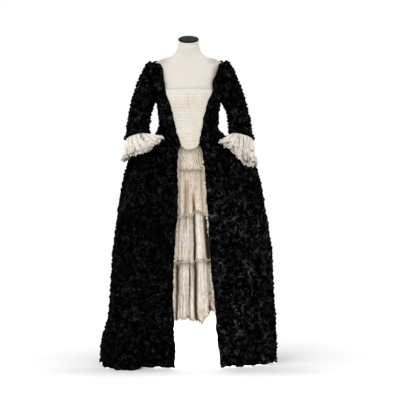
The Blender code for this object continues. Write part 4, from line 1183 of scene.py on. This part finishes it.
def make_robe():
    """The black open robe: bodice, skirt panels, pleated back and sleeves."""
    looks = [robe_look(), lining_look()]
    for side, name in SIDES:
        grid = bodice_front_grid(side)
        out, tone = robe_relief(grid, edge_distance(grid, side), 1 - ease((grid[..., 2] - 1.17) / 0.08))
        out = out * (1 - 0.75 * ease((grid[..., 2] - 1.382) / 0.016))
        robe_piece(f"bodice_front_{name}", grid, (out, tone), looks[:1] * 2)

        grid = skirt_grid(
            side, lambda z: opening_angle(side, z), seam_line(SIDE_SEAM_ANGLE, SEAM_OVERLAP),
            SKIRT_FRONT_GRID, 41 + side)
        relief = robe_relief(grid, edge_distance(grid, side))
        robe_piece(f"skirt_front_{name}", grid, relief, looks)

        grid = skirt_grid(
            side, seam_line(SIDE_SEAM_ANGLE, SEAM / 2), seam_line(SACK_SEAM_ANGLE, SEAM_OVERLAP),
            SKIRT_SIDE_GRID)
        robe_piece(f"skirt_side_{name}", grid, robe_relief(grid), looks)

        grid = sleeve_grid(side)
        out, tone = robe_relief(grid)
        down = lengths_along(grid, 0)
        wander = 2.2 * noise(grid, np.array([0.05, 0.05, 0.02]), 12)
        puckered = np.cos(down * math.tau / PUCKER_SPACING + wander)
        out = out * 0.9 + 0.0017 * (1 + puckered) * ease(down / 0.03)
        left_over = down[-1:] - down
        out = out + 0.0030 * peak(left_over - 0.006, 0.006)
        robe_piece(f"sleeve_{name}", grid, (out, tone), looks, True)
    grid = bodice_back_grid()
    out, tone = robe_relief(grid)
    out = out * 0.6 * ease((STRAP_TOP_Z - grid[..., 2]) / 0.05)
    robe_piece("bodice_back", grid, (out, tone), looks[:1] * 2)
    grid = sack_grid()
    out, tone = robe_relief(grid)
    out = out * ease((SACK_TOP_Z - grid[..., 2]) / 0.035)
    inner = grid - grid_directions(grid) * ROBE_CLOTH
    low = int(np.argmax(grid[:, 0, 2] < TRAIN_FACING_Z)) - 1
    inner[low:, :, :2] = inner[low, :, :2]
    piece = cloth("robe_sack_back", grid, out, ROBE_CLOTH, looks, tone, inner=inner)
    piece.data.set_sharp_from_angle(angle=math.radians(55))
    finish_piece(piece, "sack_back")


def make_stomacher(lining):
    """The stiff pale front: ribs across it, fine ones down it, a middle seam and a corded point."""
    rows, columns = STOMACHER_GRID
    widths = curves_of(STOMACHER_WIDTHS)
    low, high = STOMACHER_WIDTHS[0].z, STOMACHER_WIDTHS[-1].z
    z = (low + (high - low) * np.linspace(1, 0, rows) ** 1.35)[:, None]
    first, last = ROBE.angle_at(-widths["right"](z), z), ROBE.angle_at(widths["left"](z), z)
    u = np.linspace(0, 1, columns)[None, :]
    angle = first + (last - first) * u
    z = z + angle * 0
    grid = ROBE.point(angle, z, -ROBE_CLOTH - STOMACHER_CLEARANCE)
    x = grid[..., 0]
    rib = np.cos((z - low) * math.tau / RIB_SPACING + 0.5 * noise(grid, 0.03, 2))
    out = 0.0007 * (np.clip(rib, -0.2, 1) + 0.2)
    out = out + 0.00035 * np.cos(x * math.tau / FINE_RIB_SPACING + 0.8 * noise(grid, 0.025, 3))
    seam = peak(x, 0.0019) * ease((z - 1.165) / 0.01) * ease((1.243 - z) / 0.01)
    to_edge = np.minimum(u, 1 - u) * (widths["right"](z) + widths["left"](z))
    to_edge = np.minimum(to_edge, (z - low) * 1.1 + 0.0006)
    cord = peak(to_edge - 0.0024, 0.0017) * ease((1.09 - z) / 0.03)
    out = out - 0.0008 * seam + 0.0011 * cord + 0.0006 * noise(grid, 0.02, 8)
    # Painted shadow in a thin line just inside the edge of the point (under), and painted shade between the
    # ribs in patches; the middle seam is darker, with uneven specks, and the cloth darkens towards the point.
    under = peak(to_edge - 0.0052, 0.0012) * ease((1.05 - z) / 0.03)
    tone = 0.15 * patches(grid, 0.028, 10, 0.5) * (1 - rib) / 2 + 0.42 * seam + 0.60 * under
    tone = tone + 0.09 * (1 + noise(grid, 0.006, 9))
    tone = tone + 0.15 * ease((1.14 - z) / 0.12)
    look = pale_look(
        "stomacher_cloth", (0.80, 0.76, 0.69), (0.73, 0.68, 0.59), (0.36, 0.29, 0.20),
        (300.0, 300.0, 60.0), 0.0008, 0.06)
    tone = np.clip(tone, 0, 1)
    piece = cloth("gown_stomacher", grid, out, STOMACHER_CLOTH, [look, lining], tone)
    finish_piece(piece, "stomacher")


def gathers(angle, z, seed, size=1.35):
    """Uneven gathers from 0 to 1 that run down the cloth, with a finer set among them."""
    angle = angle + z * 0
    broad = noise(np.stack([angle / size, z / 0.22, z * 0], -1), 1.0, seed)
    fine = noise(np.stack([angle / (size * 0.42), z / 0.09, z * 0], -1), 1.0, seed + 4)
    return np.clip(0.5 + 0.62 * broad + 0.30 * fine, 0, 1)


def painted_crease_shade(angle, z):
    """The painted shade in the creases and the troughs of the folds."""
    troughs = [fold for fold in PETTICOAT_FOLDS if fold.height < 0]
    shallow = ease(-fold_height(troughs, angle, z, PETTICOAT_HEM_Z) / 0.016)
    return np.clip(0.20 * shallow + crease_sum(angle, z, "dark", 1.05), 0, 0.96)


def threads(name, roots, down, seed, length, look, width=0.0011):
    """A fringe of short curled threads that hang from root points."""
    count = len(roots)
    line = np.arange(count)
    random = np.stack([hashed(np.stack([line, line * 0 + k, line * 0], -1), seed) for k in range(6)], -1)
    parts = 5
    t = np.linspace(0, 1, parts)[None, :, None]
    side = unit(np.cross(down, np.array([0.0, -1.0, 0.0])))
    out = unit(np.cross(side, down))
    reach = (length * (0.35 + 0.9 * random[:, 0]))[:, None, None]
    sway = (random[:, 1] - 0.5)[:, None, None] * 0.9 * reach
    curl = np.sin(t * (3 + 5 * random[:, 2])[:, None, None] + 6 * random[:, 3][:, None, None])
    centre = roots[:, None] + down[:, None] * t * reach + side[:, None] * (sway * t**2 + 0.0014 * curl * t)
    centre = centre + out[:, None] * (0.0016 * t + 0.0016 * random[:, 4][:, None, None] * t)
    half = width * (0.6 + 0.6 * random[:, 5])[:, None, None] * (1 - 0.55 * t)
    corners = [side[:, None] * half, -side[:, None] * half * 0.6 + out[:, None] * half, -side[:, None] * half]
    points = np.stack([centre + corner for corner in corners], 2).reshape(-1, 3)
    base = (np.arange(count) * parts * 3)[:, None, None]
    ring = (np.arange(parts - 1) * 3)[None, :, None]
    corner = np.arange(3)[None, None, :]
    after = (corner + 1) % 3
    here, there = base + ring + corner, base + ring + after
    quads = np.stack([here, there, there + 3, here + 3], -1)
    first = base[:, 0, 0]
    last = first + (parts - 1) * 3
    caps = np.concatenate([
        np.stack([first, first + 2, first + 1], -1), np.stack([last, last + 1, last + 2], -1)])
    tone = np.repeat(np.where(random[:, 2] > 0.6, 0.85, 0.08), parts * 3)
    uvs = points[:, [0, 2]]
    piece = add_mesh(name, points, quads.reshape(-1, 4), caps, [look], None, uvs, tone)
    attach(piece, "root")
    return piece


def hem_roots(grid, count, seed, lift=0.0006):
    """Evenly spread points on the last row of a grid, and the way down from each."""
    place = np.linspace(2, grid.shape[1] - 3, count)
    i = place.astype(int)
    part = (place - i)[:, None]
    last = grid[-1, i] * (1 - part) + grid[-1, i + 1] * part
    above = grid[-3, i] * (1 - part) + grid[-3, i + 1] * part
    down = unit(last - above)
    rows = grid_directions(grid)[-1, i]
    up = 0.004 * hashed(np.stack([i, i * 0 + 7, i * 0], -1), seed)[:, None]
    return last - down * up + rows * lift, down


def make_petticoat(lining):
    """The pale petticoat, whole round the form, with a frayed hem."""
    near = np.linspace(FLOUNCE_FIRST_ANGLE, FLOUNCE_LAST_ANGLE, PETTICOAT_NEAR_COLUMNS)
    far = np.linspace(FLOUNCE_LAST_ANGLE, FLOUNCE_FIRST_ANGLE + 360.0, 101)[1:-1]
    angle = np.concatenate([near, far])
    angle = np.where(angle < 180, angle, angle - 360)[None, :]
    upper = np.linspace(PETTICOAT_TOP_Z, PETTICOAT_FINE_Z, 50)[:-1]
    lower = np.linspace(PETTICOAT_FINE_Z, PETTICOAT_HEM_Z, 112)
    z = np.concatenate([upper, lower])[:, None]
    hem = ease((0.46 - z) / 0.2)
    wander = 0.006 * line_noise(angle, 1.7, 5) + 0.004 * line_noise(angle, 0.7, 6)
    dip = -0.020 * peak(angle - 9.8, 2.2) + 0.038 * ease((angle - 12.5) / 6.5)
    dip = np.where(angle < 45, dip, 0.0)
    z = z + (wander + dip + 0.003) * hem ** 2 + angle * 0
    angle = angle + z * 0
    fold = gathers(angle, z, 2)
    shown = ease((0.53 - z) / 0.06)
    lie = petticoat_out(angle, z) - 0.0045 * (1 - fold) * shown
    grid = PETTICOAT.point(angle, z, lie)
    inner = PETTICOAT.point(angle, z, lie - PLAIN_CLOTH * 1.3)
    to_hem = z - z[-1:]
    fray = ease((0.016 - to_hem) / 0.010)
    out = fray * 0.0035 * tufts(grid, 0.009, 4)
    # Painted shade in the hollows of the gathers; the crease shade added below is painted too.
    tone = 0.40 * (1 - fold) ** 1.5 * shown
    tone = tone + fray * 1.3 * patches(grid, 0.009, 7, 0.15)
    ragged = ease((angle - 13.5) / 2.5) * ease((21.0 - angle) / 2.0) * ease((0.36 - z) / 0.05)
    tone = tone + ragged * 0.8 * patches(grid, 0.010, 8, 0.1)
    tone = np.clip(tone + painted_crease_shade(angle, z), 0, 1)
    look = pale_look(
        "petticoat_crepe", (0.96, 0.925, 0.86), (0.72, 0.635, 0.52), (0.11, 0.055, 0.024),
        speckle=0.46)
    piece = cloth("gown_petticoat", grid, out, PLAIN_CLOTH, [look, lining], tone, True, inner)
    roots, down = hem_roots(grid[:, :PETTICOAT_NEAR_COLUMNS], 420, 3)
    fringe = threads("gown_petticoat_fringe", roots, down, 5, 0.0110, thread_look(), 0.0014)
    finish_piece(piece, "petticoat")


def thread_look():
    """Unbleached thread, from cream to brown."""
    look = Look("frayed_thread", (0.80, 0.72, 0.60), 0.9, Specular_IOR_Level=0.15)
    cream = look.mix(look.noise(40.0, 2.0), (0.84, 0.775, 0.67), (0.74, 0.65, 0.51))
    look.set("Base Color", look.mix(look.tone(), cream, (0.26, 0.16, 0.08)))
    look.set("Normal", look.bump(look.noise(900.0, 2.0), 0.0003, 0.6))
    return look.material


def hem_tabs(index, angle):
    """How far each flounce's uneven hem hangs below its even one, from the top flounce down."""
    tabs = 0.0045 * np.abs(line_noise(angle, 0.8, 11 + index))
    tabs = tabs + 0.004 * line_noise(angle, 2.6, 15 + index)
    if index == 0:
        return tabs - 0.006
    if index == 1:
        return tabs - 0.009 + 0.014 * (1 - ease((angle + 6.5) / 3.0)) - 0.019 * peak(angle - 8.0, 3.2)
    return tabs + 0.012 * (1 - ease((angle - 4.5) / 2.0)) - 0.016


def netting(grid, dropped):
    """The slanting lines of the top flounce's net: where they lie, and how dark they are."""
    across = grid[..., 0] / NET_SPACING + 0.7 * noise(grid, 0.02, 51)
    down = dropped / NET_DROP
    net = np.minimum(np.abs((across + down) % 1 - 0.5), np.abs((across - down) % 1 - 0.5))
    knot = 1 - ease(net / 0.17)
    away = ease((np.abs(grid[..., 0] - 0.006) - 0.012) / 0.02)
    broken = np.clip(0.85 + 0.9 * noise(grid, 0.010, 52), 0, 1.3)
    return knot, knot * (0.40 + 0.50 * away) * broken


def make_flounces(lining):
    """The three flounces: netted lace at the top, then two gathered ones with frayed hems."""
    angle = np.linspace(FLOUNCE_FIRST_ANGLE, FLOUNCE_LAST_ANGLE, FLOUNCE_COLUMNS)[None, :]
    fringe_look = thread_look()
    for index, (flounce, kind) in enumerate(zip(FLOUNCES, FLOUNCE_CLOTHS)):
        height = flounce.top_z - flounce.hem_z
        rows = 2 * int(height / FLOUNCE_ROW_HEIGHT) + 1
        t = np.linspace(0, 1, rows)[:, None]
        z = flounce.top_z - height * t
        z = z - hem_tabs(index, angle) * t**3 + angle * 0
        here = angle + z * 0
        fold = gathers(here, z, 20 + index, kind.gathers)
        settled = ease(t / 0.12)
        lift = (0.0014 + 0.0026 * t) * fold * settled
        to_hem = z - z[-1:]
        fray = ease((0.013 - to_hem) / 0.009)
        lie = flounce_out(flounce, here, z)
        grid = PETTICOAT.point(here, z, lie)
        out = fray * 0.0034 * tufts(grid, 0.0078, 40 + index)
        # Painted shade in the hollows of the gathers; the crease shade added below is painted too.
        tone = 0.42 * (1 - fold) ** 1.5 * settled
        tone = tone + kind.spots * fray * patches(grid, 0.009, 44 + index)
        if index == 0:
            knot, shade = netting(grid, flounce.top_z - z)
            lift = lift + 0.0018 * (1 - knot) * settled
            tone = tone * 0.4 + shade
        if index == 1:
            # A brown patch with uneven streaks, just to the wearer's right of the middle, below 0.86 m.
            warm = peak(here + 1.0, 3.2) * ease((0.86 - z) / 0.05)
            brown_streaks = np.clip(0.5 + line_noise(here, 0.7, 58), 0, 1)
            tone = tone + 0.36 * warm * brown_streaks
        if index == 2:
            # A painted shadow band where the third flounce turns away beside the robe's front edge on the
            # wearer's left, darkest near the edge.
            start = 11.4 + 10.0 * (0.70 - z)
            band = ease((here - start) / 2.2) * ease((to_hem - 0.004) / 0.010)
            tone = tone * (1 - band) + (0.87 + 0.10 * ease((here - start - 1.0) / 3.5)) * band
        tone = np.clip(tone + painted_crease_shade(here, z) * (index > 0), 0, 0.97)
        look = pale_look(
            f"flounce_cloth_{index + 1}", (0.93, 0.88, 0.80), kind.dark, kind.stain, speckle=0.42)
        grid = PETTICOAT.point(here, z, lie + lift)
        inner = PETTICOAT.point(here, z, lie - PLAIN_CLOTH * 1.3)
        name = f"gown_flounce_{index + 1}"
        piece = cloth(name, grid, out, PLAIN_CLOTH, [look, lining], tone, inner=inner)
        roots, down = hem_roots(grid, 340, 13 + index)
        fringe = threads(f"{name}_fringe", roots, down, 15 + index, kind.threads, fringe_look, 0.0015)
        finish_piece(
            piece, flounce.name)


def make_edge_laces():
    """Narrow frayed lace that shows beyond the robe's front edges."""
    look = pale_look(
        "edge_lace", (0.84, 0.78, 0.69), (0.70, 0.60, 0.47), (0.07, 0.045, 0.025),
        (220.0, 220.0, 120.0), 0.0008)
    for index, lace in enumerate(EDGE_LACES):
        rows = 2 * int((lace.top_z - lace.bottom_z) / 0.0044) + 1
        z = np.linspace(lace.top_z, lace.bottom_z, rows)[:, None]
        u = np.linspace(0, 1, 9)[None, :]
        seed = 80 + 5 * index
        ragged = 0.30 + 0.9 * np.abs(line_noise(z, 0.0075, seed)) + 0.40 * line_noise(z, 0.028, seed + 1)
        ends = ease((lace.top_z - z) / 0.03) * ease((z - lace.bottom_z) / 0.03)
        edge = opening_angle(lace.side, z) + angle_for(0.0, z, 0.006 + 0 * z)
        reach = angle_for(0.0, z, 0.006 + lace.reach * ragged * ends)
        angle = edge - reach * u
        frill = 0.0012 * np.sin(z * math.tau / 0.0085 + 2 * line_noise(z, 0.02, seed + 2)) * u
        strip = np.stack(np.broadcast_arrays(z, u * 0.01, z * 0), -1)
        frill = frill + 0.0008 * noise(strip, 0.004, seed + 3) * u
        grid = ROBE.point(lace.side * angle, z + angle * 0, -0.0052 + frill)
        if lace.side < 0:
            grid = grid[:, ::-1]
            u = u[:, ::-1]
        tone = np.clip(0.05 + 2.4 * patches(grid, 0.0058, seed + 4, -0.12), 0, 0.95)
        out = 0.0008 * tufts(grid, 0.005, seed) * u
        piece = cloth(lace.name, grid, out, EDGE_LACE_CLOTH, [look, look], tone)
        flat, area = cut_of(grid)
        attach(piece, "root")
        flat = (max(flat[0], LEAST_SHEET_WIDTH), flat[1])
        area = max(area, LEAST_AREA_SHARE * flat[0] * flat[1])


def skirt_clear(place, clearance):
    """Places moved out sideways until they are clear of the robe's skirt."""
    angle = np.degrees(np.arctan2(place[..., 0], -place[..., 1]))
    width, depth = ROBE.axes(angle, place[..., 2])
    share = np.hypot(place[..., 0] / (width + clearance), place[..., 1] / (depth + clearance))
    moved = (share + 1 + np.sqrt((share - 1) ** 2 + 0.004)) / 2 / share
    return np.stack([place[..., 0] * moved, place[..., 1] * moved, place[..., 2]], -1)


def ruffle_grid(side):
    """Rings down a cuff ruffle before its pleats, and how far each pleat stands out there."""
    rows, columns = RUFFLE_GRID
    curves = curves_of(RUFFLES[side])
    turn = np.linspace(0, math.tau, columns + 1)[:-1]
    length, flare, wave = (curves[name](np.degrees(turn)) for name in ("length", "flare", "wave"))
    lean = math.radians(RUFFLE_LEAN)
    fall = np.array([-side * math.sin(lean), 0.0, -math.cos(lean)])
    across = np.array([side * math.cos(lean), 0.0, -math.sin(lean)])
    above, cuff = sleeve_points(side, SLEEVE_SECTIONS[-2:], turn)
    middle = (cuff[0] + cuff[columns // 2]) / 2
    tuck = unit(middle - cuff) * RUFFLE_TUCK
    rings = [cuff + (above - cuff) * 0.18 + tuck]
    steps = np.array([RUFFLE_START, 0.24, 0.45, 0.72, 1.0])
    for step in steps:
        away = across * np.cos(turn)[:, None] + np.array([0.0, -1.0, 0.0]) * np.sin(turn)[:, None]
        spread = flare * (step - RUFFLE_START)
        place = cuff + tuck + fall * (length * step)[:, None] + away * spread[:, None]
        place = skirt_clear(place, RUFFLE_CLEARANCE)
        softer = ease((step - RUFFLE_START) / 0.42)
        rings.append(place * (1 - softer) + softened(place, columns / 42.0) * softer if step > 0.1 else place)
    smooth = smooth_rows(np.array(rings), rows)
    place = np.linspace(0, len(steps), rows)
    step = np.interp(place, np.arange(len(steps) + 1), np.concatenate([[0.0], steps]))
    return smooth, step[:, None], turn[None, :], wave[None, :]


def ruffle_tone(side, grid, step, turn, fold, tip, fray):
    """How dark a ruffle is: painted shade in its hollows, under its curled lace and through its lace holes,
    with darker specks and brown marks.
    """
    hollow = np.clip(-fold, 0, 1)
    # Painted shade in the pleats' hollows, strongest at the outer tip and deeper near the cuff.
    outer_tip = np.clip(np.cos(turn - 0.5), 0, 1) * ease((step - 0.45) / 0.5)
    tone = (0.24 + (0.4 if side < 0 else 0.15) * outer_tip) * hollow * ease(step / 0.1)
    tone = tone + 0.38 * ease((hollow - 0.5) / 0.4) * (1 - ease((step - 0.35) / 0.3))
    specks = patches(grid, 0.0062, 84 + side, -0.1)
    tone = tone + (0.30 + 0.55 * ease((step - 0.62) / 0.15)) * ease((step - 0.25) / 0.3) * specks
    # Painted shade in blobs in the hollows where the lace edge curls.
    cell = np.stack([np.cos(turn) * 8 + step * 0, np.sin(turn) * 8 + step * 0, step * 5.0 + turn * 0], -1)
    curl_shade = ease((noise(cell, 1.0, 81) - 0.28) / 0.25) * ease((hollow + 0.45) / 0.5)
    curl_shade = curl_shade * (1 - tip) * 0.45
    tone = tone + curl_shade * ease((step - 0.55) / 0.08) * ease((0.95 - step) / 0.05)
    # Painted shade where the lace's holes are along the frayed edge, and painted shade in frayed patches at
    # the outer tip.
    hole_shade = 1 - ease((tufts(grid, 0.0075, 74 + side) - 0.20) / 0.3)
    tone = tone + fray * 0.75 * hole_shade * patches(grid, 0.02, 78, 0.6)
    tone = tone + 0.5 * outer_tip * fray * patches(grid, 0.012, 79)
    tone = tone * 0.87
    for mark in RUFFLE_SPOTS[side]:
        away = np.hypot((grid[..., 0] - mark.x) / mark.width, (grid[..., 2] - mark.z) / mark.height)
        tone = np.maximum(tone, mark.tone * (1 - ease((away - 0.6) / 0.8)))
    return np.clip(tone, 0, 1)


def make_ruffles():
    """The gathered cuff ruffle below each sleeve, with a scalloped lace edge."""
    look = pale_look(
        "ruffle_lawn", (0.86, 0.825, 0.77), (0.76, 0.71, 0.64), (0.12, 0.08, 0.05),
        (180.0, 180.0, 60.0), 0.0008)
    for side, name in SIDES:
        smooth, step, turn, wave = ruffle_grid(side)
        directions = grid_directions(smooth, True)
        strength = wave * step**0.8
        ring = np.stack([np.cos(turn) * 3, np.sin(turn) * 3, turn * 0], -1)
        uneven = noise(ring, 0.8, 60 + side)
        crumple = noise(smooth, 0.020, 88 + side) * ease(step / 0.6)
        main = np.cos(RUFFLE_WAVES * turn + 1.3 * uneven + 2.0 * crumple)
        finer = np.cos(RUFFLE_GATHERS * turn + 3.4 * uneven + 2.6 * crumple)
        finest = np.cos(RUFFLE_CRIMPS * turn + 3.0 * noise(ring, 0.5, 64 + side))
        rise = strength * (main * (0.75 + 0.5 * uneven) + 0.34 * finer) + 0.0013 * finest * ease(step / 0.2)
        rise = rise + 0.0032 * noise(smooth, 0.012, 61 + side) * ease(step / 0.3)
        rise = rise + 0.0036 * noise(smooth, 0.0070, 83 + side) * ease((step - 0.35) / 0.3)
        scallop = 0.0055 * np.abs(np.sin(RUFFLE_SCALLOPS * turn + 1.5 * uneven))
        scallop = scallop + 0.008 * noise(ring, 0.16, 66 + side)
        down = unit(smooth[-1] - smooth[-4])
        grid = smooth + directions * rise[..., None]
        grid = grid + down[None] * (scallop * step**6)[..., None]
        tip = ease((-np.cos(turn) - 0.3) / 0.6) * ease((step - 0.15) / 0.6)
        ragged = 0.006 * noise(ring, 0.10, 95 + side) * step**4
        grid = grid + np.array([0.0, 0.0, RUFFLE_TIP_RISE[side]]) * tip[..., None]
        grid = grid + down[None] * (ragged * tip)[..., None]
        fray = ease((step - 0.80) / 0.08)
        out = fray * 0.0030 * tufts(grid, 0.008, 70 + side)
        tone = ruffle_tone(side, grid, step, turn, main * 0.7 + finer * 0.45, tip, fray)
        grid = facing_out(grid, side)
        out, tone = facing_out(out, side), facing_out(tone, side)
        piece = cloth(f"gown_ruffle_{name}", grid, out, RUFFLE_CLOTH, [look, look], tone, True)
        finish_piece(
            piece, f"cuff_ruffle_{name}")


def tilted(points, tilt):
    """Points tipped forwards about the middle of the neck's top."""
    turn = math.radians(tilt)
    y, z = points[..., 1], points[..., 2] - CAP_CENTRE_Z
    rise = CAP_CENTRE_Z + y * math.sin(turn) + z * math.cos(turn)
    return np.stack([points[..., 0], y * math.cos(turn) - z * math.sin(turn), rise], -1)


def level_ring(radius, z, count):
    """A level ring of points round the standing axis, from the front to the wearer's left."""
    turn = np.linspace(0, math.tau, count + 1)[:-1]
    return np.stack([radius * np.sin(turn), -radius * np.cos(turn), turn * 0 + z], -1)


def lathe(name, rings, look):
    """A closed solid through rings from the top down."""
    rings = np.array(rings)
    rows, columns = rings.shape[:2]
    face = np.arange(rows * columns).reshape(rows, columns)
    face = np.concatenate([face, face[:, :1]], 1)
    sides = np.stack([face[:-1, :-1], face[1:, :-1], face[1:, 1:], face[:-1, 1:]], -1).reshape(-1, 4)
    top, bottom = rows * columns, rows * columns + 1
    lid = np.stack([np.full(columns, top), face[0, :-1], face[0, 1:]], -1)
    foot = np.stack([np.full(columns, bottom), face[-1, 1:], face[-1, :-1]], -1)
    points = np.concatenate([rings.reshape(-1, 3), [rings[0].mean(0)], [rings[-1].mean(0)]])
    piece = add_mesh(name, points, sides, np.concatenate([lid, foot]), [look])
    piece.data.set_sharp_from_angle(angle=math.radians(40))
    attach(piece, "root")
    return piece


def make_neck_piece(name, node, profile, bottom, height, look):
    """A round piece on the slanting neck, through rings at shares of its radius and its height."""
    rings = [
        tilted(level_ring(CAP_RADIUS * scale, bottom + height * share, NECK_PIECE_COLUMNS), NECK_TILT)
        for scale, share in profile
    ]
    piece = lathe(name, rings, look)
    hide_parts(node)


def make_form():
    """The dress form, its neck cap with a pale ring, and the finishes of the stand."""
    angle = np.linspace(0, 360, FORM_COLUMNS + 1)[:-1]
    cap_bottom = CAP_CENTRE_Z - CAP_THICKNESS / 2
    ring_bottom = cap_bottom - SEAM - RING_THICKNESS
    neck = level_ring(CAP_RADIUS * 0.98, ring_bottom - SEAM, FORM_COLUMNS)
    half_way = neck - np.array([0.0, 0.0, 0.012])
    heights = np.linspace(FORM_SECTIONS[-1].z, FORM_SECTIONS[0].z, FORM_ROWS)
    body = [FORM.point(angle, np.full(FORM_COLUMNS, z)) for z in heights]
    for ring in body:
        ring[:, 2] -= SHOULDER_DROP * peak(ring[:, 2] - SHOULDER_DROP_Z, SHOULDER_DROP_SPREAD)
    joined = np.array([tilted(neck, NECK_TILT), tilted(half_way, NECK_TILT / 2), body[0], body[4]])
    rings = np.concatenate([smooth_rows(joined, 25)[:17], np.array(body)])
    piece = lathe("dress_form", rings, form_look())
    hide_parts("form_torso")

    bead = ((0.985, 1.0), (1.015, 0.85), (1.03, 0.5), (1.015, 0.15), (0.985, 0.0))
    white = (0.88, 0.88, 0.87)
    ring_look = paint_look("ring_paint", white, 0.3)
    make_neck_piece("form_neck_ring", "neck_ring", bead, ring_bottom, RING_THICKNESS, ring_look)
    dome = (
        (0.45, 1.0), (0.78, 0.98), (0.92, 0.90), (0.98, 0.76), (1.0, 0.60), (1.0, 0.2),
        (0.985, 0.05), (0.94, 0.0))
    make_neck_piece("form_neck_cap", "neck_cap", dome, cap_bottom, CAP_THICKNESS, cap_look())
    paint = paint_look("stand_paint", white, 0.4)
    for node in ("stand_pole", "stand_base"):
        solid = bpy.data.objects[node]
        solid.data.materials.clear()
        solid.data.materials.append(paint)


def add_light(name, place, target, size, power, colour=(1.0, 1.0, 1.0), seen=True):
    """A square soft light that faces a point."""
    data = bpy.data.lights.new(name, "AREA")
    data.shape = "SQUARE"
    data.size = size
    data.energy = power
    data.color = colour
    item = bpy.data.objects.new(name, data)
    item.location = place
    away = np.array(place, float) - np.array(target, float)
    flat = math.hypot(away[0], away[1])
    item.rotation_euler = (math.atan2(flat, away[2]), 0.0, math.atan2(away[0], -away[1]))
    item.visible_camera = seen
    bpy.context.scene.collection.objects.link(item)


def make_studio():
    """A white floor with a painted soft shadow in front of the gown, soft lights, a white surround and the
    photograph's camera.
    """
    scene = bpy.context.scene
    floor_look = Look("studio_floor", (0.9, 0.9, 0.9), 0.9, Specular_IOR_Level=0.1)
    across = floor_look.axis("X")
    along = floor_look.axis("Y")
    # A painted soft shadow darkens the floor in a band in front of the gown's hem.
    near = floor_look.times(floor_look.soft(along, -0.70, -0.37), floor_look.soft(along, -0.12, -0.37))
    middle = floor_look.times(floor_look.soft(across, -0.75, -0.2), floor_look.soft(across, 0.75, 0.2))
    painted_shadow = floor_look.times(near, middle)
    floor_look.set("Base Color", floor_look.mix(painted_shadow, (0.92, 0.92, 0.92), (0.67, 0.67, 0.67)))
    corners = FLOOR_HALF_WIDTH * np.array([[-1, -1, 0], [1, -1, 0], [1, 1, 0], [-1, 1, 0]])
    square = np.array([[0, 1, 2, 3]])
    floor = add_mesh("studio_floor", corners, square, np.zeros((0, 3), int), [floor_look.material])
    world = bpy.data.worlds.new("studio")
    world.use_nodes = True
    world.node_tree.nodes["Background"].inputs["Color"].default_value = (1.0, 1.0, 1.0, 1.0)
    world.node_tree.nodes["Background"].inputs["Strength"].default_value = 1.0
    scene.world = world
    add_light("key_light", (-2.3, -6.1, 4.8), (0.0, 0.0, 0.9), 2.0, KEY_LIGHT_POWER, seen=False)
    add_light("inner_light", (0.0, -0.05, 0.34), (0.0, 0.35, 0.02), 0.30, INNER_LIGHT_POWER, seen=False)
    sun = bpy.data.lights.new("overhead_light", "SUN")
    sun.energy = SUN_POWER
    sun.angle = math.radians(60)
    item = bpy.data.objects.new("overhead_light", sun)
    item.rotation_euler = (math.radians(28), math.radians(-16), 0.0)
    scene.collection.objects.link(item)
    camera = bpy.data.cameras.new("photo_camera")
    camera.lens = CAMERA_LENS
    camera.sensor_width = CAMERA_SENSOR
    camera.clip_end = CAMERA_REACH
    item = bpy.data.objects.new("photo_camera", camera)
    item.location = CAMERA_PLACE
    item.rotation_euler = (math.radians(90), 0.0, 0.0)
    scene.collection.objects.link(item)
    scene.camera = item
    scene.view_settings.view_transform = "Standard"
    scene.view_settings.look = "None"
    scene.view_settings.exposure = 0.0
    scene.view_settings.gamma = 1.0


def main():
    """Dresses the part."""
    make_studio()
    make_robe()
    lining = lining_look()
    make_stomacher(lining)
    make_petticoat(lining)
    make_flounces(lining)
    make_edge_laces()
    make_ruffles()
    make_form()
    bpy.context.view_layer.update()


main()
